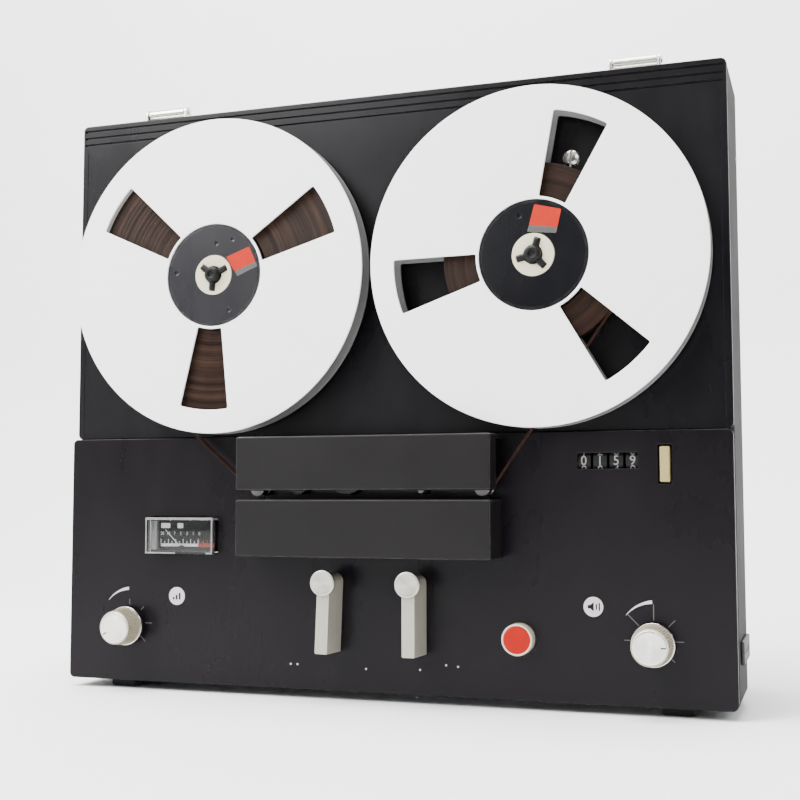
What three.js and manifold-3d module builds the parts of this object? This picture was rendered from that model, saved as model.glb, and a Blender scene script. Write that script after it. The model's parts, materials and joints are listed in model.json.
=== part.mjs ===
// Reel-to-reel tape deck, standing upright on two rubber feet.
// Millimetres, +Z up, the front faces -Y and the deck's left is -X.
// The origin is on the floor, under the middle of the deck's outer box.

import * as THREE from 'three';
import { mergeVertices } from 'three/addons/utils/BufferGeometryUtils.js';
import Module from 'manifold-3d';

const wasm = await Module();
wasm.setup();

// ---------------------------------------------------------------- driving dimensions

const GAP = 0.3; // clearance left between pieces that touch or fit into each other

const HALF_WIDTH = 188.6;
const FOOT_HEIGHT = 5;
const BASE_Z = FOOT_HEIGHT;
const SEAM_Z = 143.2; // the control panel ends and the reel deck begins
const TOP_Z = 332.2;

const PANEL_FRONT = -51;
const PANEL_INNER = -47.5;
const DECK_FRONT = -46;
const PLATE_BACK = -43; // common rear plane of the control panel's rim and the reel deck
const CHASSIS_FRONT = -22;
const CHASSIS_BACK = -19.5;
const FRAME_BACK = 15;
const HOUSING_BACK = 70;
const REAR_FOOT_BACK = 75;

const FRAME_WALL = 3.5;
const HOUSING_WALL = 3;
const HOUSING_INSET = 10;
const HOUSING_CORNER = 8;
const PANEL_RIM = 4;
const CORNER_RADIUS = 3;

const REEL_X = 91.5;
const REEL_Z = 233.6;
const REEL_RADIUS = 89;
const REEL_FRONT = -63.6;
const REEL_BACK = -50.7;
const FLANGE_THICKNESS = 1.2;
const HUB_FACE_RADIUS = 28.6;
const HUB_DRUM_RADIUS = 30.7;
const PACK_INNER = 31.1;
const PACK_OUTER = { left: 75.5, right: 48.8 };
const WINDOW = { inner: 30.5, outer: 75.8, innerHalfAngle: 13.7, outerHalfAngle: 11.2 };
const WINDOW_TURN = { left: 26, right: 70 }; // direction of one window, in degrees from +X
const LOBE_TURN = { left: 25, right: 73 }; // direction of one spindle lobe

const TAPE_WIDTH = 6.3;
const TAPE_THICKNESS = 0.3;
const TAPE_Y = -57.2;
const TAPE_Z = 110.4; // height of the straight run past the heads
const GUIDE = { x: { left: -64, right: 63.3 }, radius: 3 };

const COVER_HALF_WIDTH = 71.2;
const COVER_FRONT = -75;
const COVER_WALL = 2;
const COVER_LIP_BACK = -64;
const UPPER_COVER = { bottom: 112.8, top: 141.8 };
const LOWER_COVER = { bottom: 77.3, top: 108 };

const HEAD_WINDOW = { halfWidth: 64.4, bottom: 81.6, top: 138.4 };
const CAPSTAN_X = 30;
const CAPSTAN_RADIUS = 2;
const FLYWHEEL_RADIUS = 38;
const PINCH_ROLLER_RADIUS = 8;
const PINCH_ROLLER_Z = 100;
const PINCH_PIVOT = { x: 52, z: 88 };

const LEVER = { z: 64, length: 37.5, front: -69, back: -52, x: { left: -22, right: 25.2 } };
const LEFT_LEVER_LEAN = THREE.MathUtils.degToRad(2.2);
const KNOB = { z: 36.2, front: -68, back: -54.5, x: { left: -149.3, right: 148.3 } };
const RECORD_BUTTON = { x: 79.9, z: 36.5, radius: 8.1, front: -58 };
const COUNTER = { x: 126.35, z: 127.6, pitch: 8.3, wheelRadius: 8, wheelWidth: 7.3, axisY: -41.4 };
const COUNTER_WINDOW = { halfWidth: 15.35, halfHeight: 4 };
const RESET_KEY = { x: 155.1, z: 125.65, width: 5, height: 17.9 };
const METER = { x: -114.95, z: 87.6, width: 42.9, height: 21 };
const METER_PROUD = 6.4; // how far the meter's window stands out from the panel

const MOTOR = { x: -45, z: 70, radius: 28, pulleyRadius: 7 };
const BELT = { front: -13.4, back: -9.4, thickness: 1 };
const HINGE = { x: 140.5, y: -29, halfWidth: 13.7, pinZ: 340.2, pinRadius: 2.6 };
const POWER_INLET = { x: 135, z: 42, halfWidth: 13, halfHeight: 9 };
const SOCKET_PLATE = { x: -105, z: 42, halfWidth: 46, halfHeight: 14 };

const ROUND = 40; // facets round a large circle
const MEDIUM_ROUND = 24;
const SMALL_ROUND = 14;
const FLANGE_STEPS = 24; // half the facets round a reel flange

// ---------------------------------------------------------------- finishes

const FINISH = {
  blackPlastic: { color: 0x2b292c, roughness: 0.55, metalness: 0 },
  coverPlastic: { color: 0x343335, roughness: 0.5, metalness: 0 },
  greyShell: { color: 0x74726f, roughness: 0.6, metalness: 0 },
  rubber: { color: 0x18181a, roughness: 0.85, metalness: 0 },
  steel: { color: 0xa3a5a8, roughness: 0.4, metalness: 1 },
  brightMetal: { color: 0xd6d5cf, roughness: 0.25, metalness: 1 },
  champagne: { color: 0xc9c5b6, roughness: 0.32, metalness: 1 },
  silverFlange: { color: 0xe4e4e1, roughness: 0.38, metalness: 0.6 },
  darkHub: { color: 0x3a3a40, roughness: 0.45, metalness: 0 },
  tape: { color: 0x3b241c, roughness: 0.35, metalness: 0 },
  cream: { color: 0xd8d2ae, roughness: 0.4, metalness: 0 },
  red: { color: 0xe2402e, roughness: 0.35, metalness: 0 },
  clearPlastic: { color: 0xdfe4e6, roughness: 0.08, metalness: 0 },
  circuitBoard: { color: 0x6a4a22, roughness: 0.6, metalness: 0 },
  brass: { color: 0xb89a55, roughness: 0.35, metalness: 1 },
};

// ---------------------------------------------------------------- solid helpers

/** Turns a closed three.js geometry into a manifold solid with its faces pointing out. */
function toSolid(geometry) {
  const bare = geometry.clone();
  bare.deleteAttribute('normal');
  bare.deleteAttribute('uv');
  const merged = mergeVertices(bare, 1e-4);
  const points = merged.getAttribute('position').array;
  const index = merged.getIndex().array;
  const triangles = [];
  let volume = 0;
  const corner = (i) => new THREE.Vector3().fromArray(points, 3 * i);
  for (let i = 0; i < index.length; i += 3) {
    const [a, b, c] = [index[i], index[i + 1], index[i + 2]];
    if (a === b || b === c || c === a) continue;
    triangles.push(a, b, c);
    volume += corner(a).dot(corner(b).cross(corner(c)));
  }
  const faces = volume < 0 ? triangles.reverse() : triangles;
  return new wasm.Manifold(new wasm.Mesh({
    numProp: 3,
    vertProperties: new Float32Array(points),
    triVerts: new Uint32Array(faces),
  }));
}

/** Turns a manifold solid back into a three.js geometry. */
function toGeometry(solid) {
  const mesh = solid.getMesh();
  const geometry = new THREE.BufferGeometry();
  geometry.setAttribute('position', new THREE.BufferAttribute(mesh.vertProperties, 3));
  geometry.setIndex(new THREE.BufferAttribute(mesh.triVerts, 1));
  geometry.computeVertexNormals();
  return geometry;
}

/** A rectangular block between two values on each axis. */
function block(x0, x1, y0, y1, z0, z1) {
  const geometry = new THREE.BoxGeometry(x1 - x0, y1 - y0, z1 - z0);
  return toSolid(geometry.translate((x0 + x1) / 2, (y0 + y1) / 2, (z0 + z1) / 2));
}

/** A round bar along Y between two planes, centred on x and z. */
function rod(x, z, radius, y0, y1, facets = SMALL_ROUND) {
  const geometry = new THREE.CylinderGeometry(radius, radius, y1 - y0, facets);
  return toSolid(geometry.translate(x, (y0 + y1) / 2, z));
}

/** A round bar along X between two planes, centred on y and z. */
function crossRod(y, z, radius, x0, x1, facets = SMALL_ROUND) {
  const geometry = new THREE.CylinderGeometry(radius, radius, x1 - x0, facets);
  return toSolid(geometry.rotateZ(Math.PI / 2).translate((x0 + x1) / 2, y, z));
}

/** A body turned about Y from a closed profile of [radius, y] points. */
function turned(profile, facets = ROUND) {
  return toSolid(new THREE.LatheGeometry(profile.map(([r, y]) => new THREE.Vector2(r, y)), facets));
}

/** A ring turned about Y, with a plain rectangular section. */
function ring(inner, outer, y0, y1, facets = ROUND) {
  return turned([[inner, y0], [outer, y0], [outer, y1], [inner, y1], [inner, y0]], facets);
}

/** A flat plate: an outline drawn in X and Z, given thickness between two Y planes. */
function plate(outline, y0, y1, facets = 6) {
  const geometry = new THREE.ExtrudeGeometry(outline, {
    depth: y1 - y0,
    bevelEnabled: false,
    curveSegments: facets,
  });
  return toSolid(geometry.rotateX(Math.PI / 2).translate(0, y1, 0));
}

/** The outline of a rectangle in X and Z with rounded corners. */
function roundedRectangle(x0, x1, z0, z1, radius) {
  const shape = new THREE.Shape();
  shape.absarc(x1 - radius, z0 + radius, radius, -Math.PI / 2, 0);
  shape.absarc(x1 - radius, z1 - radius, radius, 0, Math.PI / 2);
  shape.absarc(x0 + radius, z1 - radius, radius, Math.PI / 2, Math.PI);
  shape.absarc(x0 + radius, z0 + radius, radius, Math.PI, 1.5 * Math.PI);
  shape.closePath();
  return shape;
}

/** The outline round two circles and the straight tangents between them. */
function linkOutline(x0, z0, r0, x1, z1, r1) {
  const along = Math.atan2(z1 - z0, x1 - x0);
  const lean = Math.acos((r0 - r1) / Math.hypot(x1 - x0, z1 - z0));
  const shape = new THREE.Shape();
  shape.absarc(x0, z0, r0, along + lean, along - lean + 2 * Math.PI);
  shape.absarc(x1, z1, r1, along - lean, along + lean);
  shape.closePath();
  return shape;
}

/** Makes a named mesh of a solid in one finish. */
function makeMesh(name, solid, finish) {
  const mesh = new THREE.Mesh(toGeometry(solid), new THREE.MeshStandardMaterial(FINISH[finish]));
  mesh.name = name;
  return mesh;
}

const deck = new THREE.Group();

/** Adds a mesh to the deck, standing at the given place. */
function place(name, solid, finish, x = 0, y = 0, z = 0) {
  const mesh = makeMesh(name, solid, finish);
  mesh.position.set(x, y, z);
  deck.add(mesh);
  return mesh;
}

// ---------------------------------------------------------------- cabinet

/** The grey ring of walls that carries everything, with a lip at the rear round the tub. */
function addCabinetFrame() {
  const outer = roundedRectangle(-HALF_WIDTH, HALF_WIDTH, BASE_Z, TOP_Z, CORNER_RADIUS);
  const inside = HALF_WIDTH - FRAME_WALL;
  const front = PLATE_BACK + GAP;
  const lipFront = FRAME_BACK - FRAME_WALL;
  const hollow = block(-inside, inside, front - 1, lipFront, BASE_Z + FRAME_WALL, TOP_Z - FRAME_WALL);
  const rearOpening = plate(housingOutline(GAP), lipFront - 1, FRAME_BACK + 1);
  const frame = plate(outer, front, FRAME_BACK, 3).subtract(hollow).subtract(rearOpening);
  place('cabinet_frame', frame, 'greyShell');
}

/** The outline of the rear tub in X and Z, grown by a clearance. */
function housingOutline(clearance) {
  const inset = HOUSING_INSET - clearance;
  return roundedRectangle(
    -HALF_WIDTH + inset, HALF_WIDTH - inset, BASE_Z + inset, TOP_Z - inset, HOUSING_CORNER + clearance);
}

/** The rear tub, which fits through the frame's lip: vents, feet and openings for the sockets. */
function addRearHousing() {
  const front = FRAME_BACK - FRAME_WALL - 1;
  const inside = HALF_WIDTH - HOUSING_INSET - HOUSING_WALL;
  const hollow = block(
    -inside, inside, front - 1, HOUSING_BACK - HOUSING_WALL,
    BASE_Z + HOUSING_INSET + HOUSING_WALL, TOP_Z - HOUSING_INSET - HOUSING_WALL);
  let housing = plate(housingOutline(0), front, HOUSING_BACK).subtract(hollow);
  const slotCount = 8;
  const slotPitch = 13;
  for (let i = 0; i < slotCount; i += 1) {
    const x = (i - (slotCount - 1) / 2) * slotPitch;
    housing = housing.subtract(block(x - 1.5, x + 1.5, HOUSING_BACK - 5, HOUSING_BACK + 1, 190, 270));
  }
  const cutOut = (item) => block(
    item.x - item.halfWidth - GAP, item.x + item.halfWidth + GAP, HOUSING_BACK - 5, HOUSING_BACK + 1,
    item.z - item.halfHeight - GAP, item.z + item.halfHeight + GAP);
  housing = housing.subtract(cutOut(POWER_INLET)).subtract(cutOut(SOCKET_PLATE));
  for (const x of [-150, 150]) {
    for (const z of [85, 295]) {
      housing = housing.add(rod(x, z, 9, HOUSING_BACK - 1, REAR_FOOT_BACK));
    }
  }
  place('rear_housing', housing, 'greyShell');
}

/** The black front plate of the lower part, with a rim at its back and its cut-outs. */
function addControlPanel() {
  const top = SEAM_Z - GAP;
  const outer = plate(
    roundedRectangle(-HALF_WIDTH, HALF_WIDTH, BASE_Z, top, CORNER_RADIUS), PANEL_FRONT, PLATE_BACK);
  const inside = HALF_WIDTH - PANEL_RIM;
  let panel = outer.subtract(
    block(-inside, inside, PANEL_INNER, PLATE_BACK + 1, BASE_Z + PANEL_RIM, top - PANEL_RIM));
  const opening = (x0, x1, z0, z1, y1 = PANEL_INNER + 1) => {
    panel = panel.subtract(block(x0, x1, PANEL_FRONT - 1, y1, z0, z1));
  };
  opening(-HEAD_WINDOW.halfWidth, HEAD_WINDOW.halfWidth, HEAD_WINDOW.bottom, HEAD_WINDOW.top);
  opening(METER.x - METER.width / 2, METER.x + METER.width / 2,
    METER.z - METER.height / 2, METER.z + METER.height / 2);
  opening(COUNTER.x - COUNTER_WINDOW.halfWidth, COUNTER.x + COUNTER_WINDOW.halfWidth,
    COUNTER.z - COUNTER_WINDOW.halfHeight, COUNTER.z + COUNTER_WINDOW.halfHeight);
  opening(RESET_KEY.x - RESET_KEY.width / 2 - 1, RESET_KEY.x + RESET_KEY.width / 2 + 1,
    RESET_KEY.z - RESET_KEY.height / 2 - 1, RESET_KEY.z + RESET_KEY.height / 2 + 1);
  const wheelRelief = { halfWidth: 16.9, halfHeight: 6.8, front: PANEL_FRONT + 1.2 };
  panel = panel.subtract(block(
    COUNTER.x - wheelRelief.halfWidth, COUNTER.x + wheelRelief.halfWidth, wheelRelief.front, PANEL_INNER + 1,
    COUNTER.z - wheelRelief.halfHeight, COUNTER.z + wheelRelief.halfHeight));
  const holes = [
    [KNOB.x.left, KNOB.z, 3.5],
    [KNOB.x.right, KNOB.z, 3.5],
    [LEVER.x.left, LEVER.z, 3.5],
    [LEVER.x.right, LEVER.z, 3.5],
    [RECORD_BUTTON.x, RECORD_BUTTON.z, RECORD_BUTTON.radius + 0.5],
  ];
  for (const [x, z, radius] of holes) {
    panel = panel.subtract(rod(x, z, radius, PANEL_FRONT - 1, PANEL_INNER + 1, SMALL_ROUND));
  }
  place('control_panel', panel, 'blackPlastic');
}

/** The black reel deck with three thin grooves under its top edge. */
function addDeckPlate() {
  let plateSolid = plate(
    roundedRectangle(-HALF_WIDTH, HALF_WIDTH, SEAM_Z, TOP_Z, CORNER_RADIUS), DECK_FRONT, PLATE_BACK);
  const grooveTops = [2.7, 6.9, 11];
  for (const depth of grooveTops) {
    const z = TOP_Z - depth;
    plateSolid = plateSolid.subtract(block(-185, 185, DECK_FRONT - 1, DECK_FRONT + 1, z - 1.3, z));
  }
  for (const x of [-REEL_X, REEL_X]) {
    plateSolid = plateSolid.subtract(rod(x, REEL_Z, 5, DECK_FRONT - 1, PLATE_BACK + 1));
  }
  place('deck_plate', plateSolid, 'blackPlastic');
}

/** The steel plate inside that carries the drive, on posts behind the two front plates. */
function addChassis() {
  let chassis = plate(roundedRectangle(-176, 176, 14, 324, 4), CHASSIS_FRONT, CHASSIS_BACK, 3);
  for (const x of [-165, 165]) {
    chassis = chassis.add(rod(x, 315, 4, PLATE_BACK + GAP, CHASSIS_FRONT + 1, 12));
    chassis = chassis.add(rod(x, 165, 4, PLATE_BACK + GAP, CHASSIS_FRONT + 1, 12));
    chassis = chassis.add(rod(x, 70, 4, PANEL_INNER + GAP, CHASSIS_FRONT + 1, 12));
  }
  for (const x of [-REEL_X, REEL_X]) {
    chassis = chassis.subtract(rod(x, REEL_Z, 3.4, CHASSIS_FRONT - 1, CHASSIS_BACK + 1));
  }
  chassis = chassis.subtract(rod(CAPSTAN_X, capstanZ(), 2.4, CHASSIS_FRONT - 1, CHASSIS_BACK + 1));
  place('chassis_plate', chassis, 'steel');
}

/** Rubber feet under the frame, latches on its sides, and the two lid hinges on its top. */
function addCabinetFittings() {
  const footHalfWidth = 8;
  const latchThickness = 1.7;
  for (const [side, sign] of [['left', -1], ['right', 1]]) {
    const foot = block(-footHalfWidth, footHalfWidth, -29, 29, 0, FOOT_HEIGHT - GAP);
    place(`${side}_foot`, foot, 'rubber', sign * 158, -13, 0);
    const latch = block(0, latchThickness, -20, 20, -6, 6);
    const latchX = sign > 0 ? HALF_WIDTH + GAP : -HALF_WIDTH - GAP - latchThickness;
    place(`${side}_lid_latch`, latch, 'rubber', latchX, -13, 31);
    const earWidth = 1.6;
    const ear = (x) => crossRod(0, HINGE.pinZ, 3.4, x, x + earWidth)
      .add(block(x, x + earWidth, -3.4, 3.4, TOP_Z + GAP, HINGE.pinZ));
    const bracket = block(-HINGE.halfWidth, HINGE.halfWidth, -6, 6, TOP_Z + GAP, TOP_Z + 1.6)
      .add(ear(-HINGE.halfWidth))
      .add(ear(HINGE.halfWidth - earWidth))
      .add(crossRod(0, HINGE.pinZ, HINGE.pinRadius, -HINGE.halfWidth + 1, HINGE.halfWidth - 1));
    place(`${side}_hinge`, bracket, 'brightMetal', sign * HINGE.x, HINGE.y, 0);
  }
}

// ---------------------------------------------------------------- reels

/** The outline of one reel flange: a disc with a hub hole and three windows. */
function flangeOutline(turn) {
  const rad = THREE.MathUtils.degToRad;
  const outline = new THREE.Shape();
  outline.absarc(0, 0, REEL_RADIUS, 0, 2 * Math.PI);
  const hubHole = new THREE.Path();
  hubHole.absarc(0, 0, HUB_FACE_RADIUS + GAP, 0, 2 * Math.PI);
  outline.holes.push(hubHole);
  for (let i = 0; i < 3; i += 1) {
    const middle = rad(turn + 120 * i);
    const outerHalf = rad(WINDOW.outerHalfAngle);
    const innerHalf = rad(WINDOW.innerHalfAngle);
    const window = new THREE.Path();
    const arcSteps = 4;
    for (let k = 0; k <= arcSteps; k += 1) {
      const angle = middle - outerHalf + (2 * outerHalf * k) / arcSteps;
      const [x, z] = [WINDOW.outer * Math.cos(angle), WINDOW.outer * Math.sin(angle)];
      if (k === 0) window.moveTo(x, z);
      else window.lineTo(x, z);
    }
    for (let k = 0; k <= 2; k += 1) {
      const angle = middle + innerHalf - innerHalf * k;
      window.lineTo(WINDOW.inner * Math.cos(angle), WINDOW.inner * Math.sin(angle));
    }
    window.closePath();
    outline.holes.push(window);
  }
  return outline;
}

/** Three radial bars that key the reel to its spindle. */
function spindleLobes(turn, reach, halfWidth, y0, y1) {
  let lobes = rod(0, 0, halfWidth, y0, y1);
  for (let i = 0; i < 3; i += 1) {
    const bar = block(0, reach, y0, y1, -halfWidth, halfWidth);
    lobes = lobes.add(bar.rotate([0, -(turn + 120 * i), 0]));
  }
  return lobes;
}

/** One reel with its tape pack, and the spindle that it stands on. */
function addReel(side) {
  const reel = new THREE.Group();
  reel.position.set(side === 'left' ? -REEL_X : REEL_X, 0, REEL_Z);
  const flange = flangeOutline(WINDOW_TURN[side]);
  const frontInner = REEL_FRONT + FLANGE_THICKNESS;
  const rearInner = REEL_BACK - FLANGE_THICKNESS;
  const frontFlange = plate(flange, REEL_FRONT, frontInner, FLANGE_STEPS);
  reel.add(makeMesh(`${side}_front_flange`, frontFlange, 'silverFlange'));
  const rearFlange = plate(flange, rearInner, REEL_BACK, FLANGE_STEPS);
  reel.add(makeMesh(`${side}_rear_flange`, rearFlange, 'silverFlange'));

  const spindleRadius = 4.6;
  const lobeReach = 8.6;
  const lobeHalf = 1.3;
  const bore = rod(0, 0, spindleRadius + GAP, REEL_FRONT - 1, REEL_BACK + 1, MEDIUM_ROUND)
    .add(spindleLobes(LOBE_TURN[side], lobeReach + 0.4, lobeHalf + GAP, REEL_FRONT - 1, REEL_BACK + 1));
  const hub = turned([
    [0, REEL_FRONT + 0.4],
    [HUB_FACE_RADIUS, REEL_FRONT + 0.4],
    [HUB_FACE_RADIUS, frontInner + GAP],
    [HUB_DRUM_RADIUS, frontInner + GAP],
    [HUB_DRUM_RADIUS, rearInner - GAP],
    [HUB_FACE_RADIUS, rearInner - GAP],
    [HUB_FACE_RADIUS, REEL_BACK],
    [0, REEL_BACK],
  ], MEDIUM_ROUND).subtract(bore);
  reel.add(makeMesh(`${side}_hub`, hub, 'darkHub'));

  const packFront = TAPE_Y - TAPE_WIDTH / 2;
  const packBack = TAPE_Y + TAPE_WIDTH / 2;
  reel.add(makeMesh(`${side}_tape_pack`, ring(PACK_INNER, PACK_OUTER[side], packFront, packBack), 'tape'));

  const turntableFront = REEL_BACK + GAP;
  const spindle = turned([
    [0, -67],
    [spindleRadius - 1.2, -67],
    [spindleRadius, -65.8],
    [spindleRadius, turntableFront],
    [26, turntableFront],
    [26, -48.1],
    [3, -48.1],
    [3, -38],
    [36, -38],
    [36, -32],
    [3, -32],
    [3, -12],
    [0, -12],
  ], MEDIUM_ROUND);
  const lobes = spindleLobes(LOBE_TURN[side], lobeReach, lobeHalf, -65.2, turntableFront + 1);
  reel.add(makeMesh(`${side}_spindle`, spindle.add(lobes), 'blackPlastic'));
  deck.add(reel);
}

// ---------------------------------------------------------------- tape path

/** Height of the capstan's axis: its underside just clears the tape. */
function capstanZ() {
  return TAPE_Z + TAPE_THICKNESS / 2 + GAP + CAPSTAN_RADIUS;
}

/** Heading, in radians, of the line that leaves circle a and meets circle b, both on its left. */
function tangentDirection(a, b) {
  const across = (b.r - a.r) / Math.hypot(b.x - a.x, b.z - a.z);
  const angle = Math.atan2(b.z - a.z, b.x - a.x) - Math.asin(across);
  return angle;
}

/** The tape from the left pack, under both guides and past the heads, to the right pack. */
function addTapeRun() {
  const clear = GAP + TAPE_THICKNESS / 2;
  const guideZ = TAPE_Z + GUIDE.radius + clear;
  const circles = [
    { x: -REEL_X, z: REEL_Z, r: PACK_OUTER.left + clear },
    { x: GUIDE.x.left, z: guideZ, r: GUIDE.radius + clear },
    { x: GUIDE.x.right, z: guideZ, r: GUIDE.radius + clear },
    { x: REEL_X, z: REEL_Z, r: PACK_OUTER.right + clear },
  ];
  const headings = [0, 1, 2].map((i) => tangentDirection(circles[i], circles[i + 1]));
  const stations = [];
  const addStation = (circle, heading) => stations.push({
    x: circle.x + circle.r * Math.sin(heading),
    z: circle.z - circle.r * Math.cos(heading),
    heading,
  });
  const bendSteps = 6;
  addStation(circles[0], headings[0]);
  for (const bend of [1, 2]) {
    for (let k = 0; k <= bendSteps; k += 1) {
      const heading = headings[bend - 1] + ((headings[bend] - headings[bend - 1]) * k) / bendSteps;
      addStation(circles[bend], heading);
    }
  }
  addStation(circles[3], headings[2]);
  const side = (station, sign) => new THREE.Vector2(
    station.x + sign * (TAPE_THICKNESS / 2) * Math.sin(station.heading),
    station.z - sign * (TAPE_THICKNESS / 2) * Math.cos(station.heading));
  const outline = new THREE.Shape([
    ...stations.map((station) => side(station, 1)),
    ...stations.map((station) => side(station, -1)).reverse(),
  ]);
  place('tape_run', plate(outline, TAPE_Y - TAPE_WIDTH / 2, TAPE_Y + TAPE_WIDTH / 2), 'tape');
}

/** The plate behind the head covers, with the guides, the two heads and the capstan bearing. */
function addHeadBlock() {
  const base = { halfWidth: HEAD_WINDOW.halfWidth - GAP, front: PANEL_FRONT, back: PANEL_FRONT + 4 };
  const headBase = plate(
    roundedRectangle(-base.halfWidth, base.halfWidth, HEAD_WINDOW.bottom + GAP, HEAD_WINDOW.top - GAP, 1),
    base.front, base.back, 2)
    .subtract(rod(CAPSTAN_X, capstanZ(), CAPSTAN_RADIUS + 0.5, base.front - 1, base.back + 1))
    .subtract(rod(PINCH_PIVOT.x, PINCH_PIVOT.z, 3.4, base.front - 1, base.back + 1));
  place('head_base', headBase, 'steel');

  const footBack = base.front - GAP;
  const guideZ = TAPE_Z + GUIDE.radius + GAP + TAPE_THICKNESS / 2;
  const post = () => turned([
    [0, -62],
    [4.2, -62],
    [4.2, -60.9],
    [GUIDE.radius, -60.9],
    [GUIDE.radius, -53.6],
    [4.2, -53.6],
    [4.2, footBack],
    [0, footBack],
  ], 24);
  place('tape_guide_left', post(), 'brightMetal', GUIDE.x.left, 0, guideZ);
  const blade = block(3.2, 4.3, -60, footBack, 1.4, 7.4).add(block(0, 4.3, -53.6, footBack, 0, 7.4));
  place('tape_guide_right', post().add(blade), 'brightMetal', GUIDE.x.right, 0, guideZ);

  const headBottom = TAPE_Z + TAPE_THICKNESS / 2 + GAP;
  const head = (width, height) => {
    const nose = new THREE.Shape();
    nose.moveTo(-width / 2, 3);
    nose.quadraticCurveTo(-width / 4, 0, 0, 0);
    nose.quadraticCurveTo(width / 4, 0, width / 2, 3);
    nose.lineTo(width / 2, height);
    nose.lineTo(-width / 2, height);
    nose.closePath();
    return plate(nose, -62, footBack, 5);
  };
  place('erase_head', head(11, 13), 'steel', -40, 0, headBottom);
  place('record_play_head', head(16, 15), 'brightMetal', -12, 0, headBottom);

  const bearing = ring(CAPSTAN_RADIUS + GAP, 6, base.back + GAP, CHASSIS_FRONT - GAP, 24);
  place('capstan_bearing', bearing, 'brass', CAPSTAN_X, 0, capstanZ());
}

/** The two pull-off covers in front of the heads, with the threading slot between them. */
function addHeadCovers() {
  const shell = (bottom, top, cavity) => block(
    -COVER_HALF_WIDTH, COVER_HALF_WIDTH, COVER_FRONT, PANEL_FRONT - GAP, bottom, top).subtract(cavity);
  const inside = COVER_HALF_WIDTH - COVER_WALL;
  const far = PANEL_FRONT + 1;
  const upper = UPPER_COVER;
  const upperHollow = block(
    -inside, inside, COVER_FRONT + COVER_WALL, far, upper.bottom + COVER_WALL, upper.top - COVER_WALL)
    .add(block(-COVER_HALF_WIDTH - 1, COVER_HALF_WIDTH + 1, COVER_LIP_BACK, far,
      upper.bottom - 1, upper.top - COVER_WALL));
  place('head_cover_upper', shell(upper.bottom, upper.top, upperHollow), 'coverPlastic');
  const lower = LOWER_COVER;
  const lowerHollow = block(
    -inside, inside, COVER_FRONT + COVER_WALL, far, lower.bottom + COVER_WALL, lower.top - COVER_WALL)
    .add(block(-inside, inside, COVER_LIP_BACK, far, lower.bottom + COVER_WALL, lower.top + 1));
  place('head_cover_lower', shell(lower.bottom, lower.top, lowerHollow), 'coverPlastic');
}

// ---------------------------------------------------------------- drive

/** Capstan, flywheel, pinch roller and its arm, motor with pulley, and the belt. */
function addDrive() {
  const shaft = turned([
    [0, -61.8], [CAPSTAN_RADIUS - 0.4, -61.8], [CAPSTAN_RADIUS, -61.4], [CAPSTAN_RADIUS, 4], [0, 4],
  ], SMALL_ROUND);
  place('capstan_shaft', shaft, 'brightMetal', CAPSTAN_X, 0, capstanZ());
  const wheel = turned([
    [CAPSTAN_RADIUS + GAP, -18],
    [8, -18],
    [8, -15],
    [FLYWHEEL_RADIUS - 6, -15],
    [FLYWHEEL_RADIUS - 6, -17],
    [FLYWHEEL_RADIUS, -17],
    [FLYWHEEL_RADIUS, -5],
    [8, -5],
    [8, -1],
    [CAPSTAN_RADIUS + GAP, -1],
    [CAPSTAN_RADIUS + GAP, -18],
  ], 32);
  place('flywheel', wheel, 'steel', CAPSTAN_X, 0, capstanZ());

  const roller = ring(2.3, PINCH_ROLLER_RADIUS, -61, -54, MEDIUM_ROUND);
  place('pinch_roller', roller, 'rubber', CAPSTAN_X, 0, PINCH_ROLLER_Z);
  const arm = plate(
    linkOutline(0, 0, 6, CAPSTAN_X - PINCH_PIVOT.x, PINCH_ROLLER_Z - PINCH_PIVOT.z, 4.5), -53.7, -51.4, 10)
    .add(rod(CAPSTAN_X - PINCH_PIVOT.x, PINCH_ROLLER_Z - PINCH_PIVOT.z, 2, -62, -53))
    .add(rod(0, 0, 3, -52, -44));
  place('pinch_arm', arm, 'steel', PINCH_PIVOT.x, 0, PINCH_PIVOT.z);

  const bolt = { reach: 24, radius: 3 };
  const beltAngle = Math.atan2(capstanZ() - MOTOR.z, CAPSTAN_X - MOTOR.x);
  const can = turned([
    [3.4, 0],
    [MOTOR.radius - 3, 0],
    [MOTOR.radius - 3, 44],
    [0, 44],
    [0, 40],
    [3.4, 40],
    [3.4, 0],
  ], MEDIUM_ROUND);
  let body = ring(3.4, MOTOR.radius, -2, 1, MEDIUM_ROUND).add(can);
  for (const sign of [-1, 1]) {
    const angle = beltAngle + (sign * Math.PI) / 2;
    body = body.add(rod(bolt.reach * Math.cos(angle), bolt.reach * Math.sin(angle), bolt.radius,
      CHASSIS_BACK + GAP, -1, 12));
  }
  place('motor', body, 'steel', MOTOR.x, 0, MOTOR.z);
  const pulley = turned([
    [0, -16],
    [MOTOR.pulleyRadius, -16],
    [MOTOR.pulleyRadius, -6],
    [3, -6],
    [3, 30],
    [0, 30],
  ], 24);
  place('motor_pulley', pulley, 'brass', MOTOR.x, 0, MOTOR.z);

  const span = Math.hypot(CAPSTAN_X - MOTOR.x, capstanZ() - MOTOR.z);
  const loop = (offset) => linkOutline(
    0, 0, MOTOR.pulleyRadius + offset, span, 0, FLYWHEEL_RADIUS + offset);
  const belt = plate(loop(GAP + BELT.thickness), BELT.front, BELT.back, 14)
    .subtract(plate(loop(GAP), BELT.front - 1, BELT.back + 1, 14));
  const beltMesh = place('drive_belt', belt, 'rubber', MOTOR.x, 0, MOTOR.z);
  beltMesh.rotation.y = -beltAngle;
}

// ---------------------------------------------------------------- controls

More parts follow.
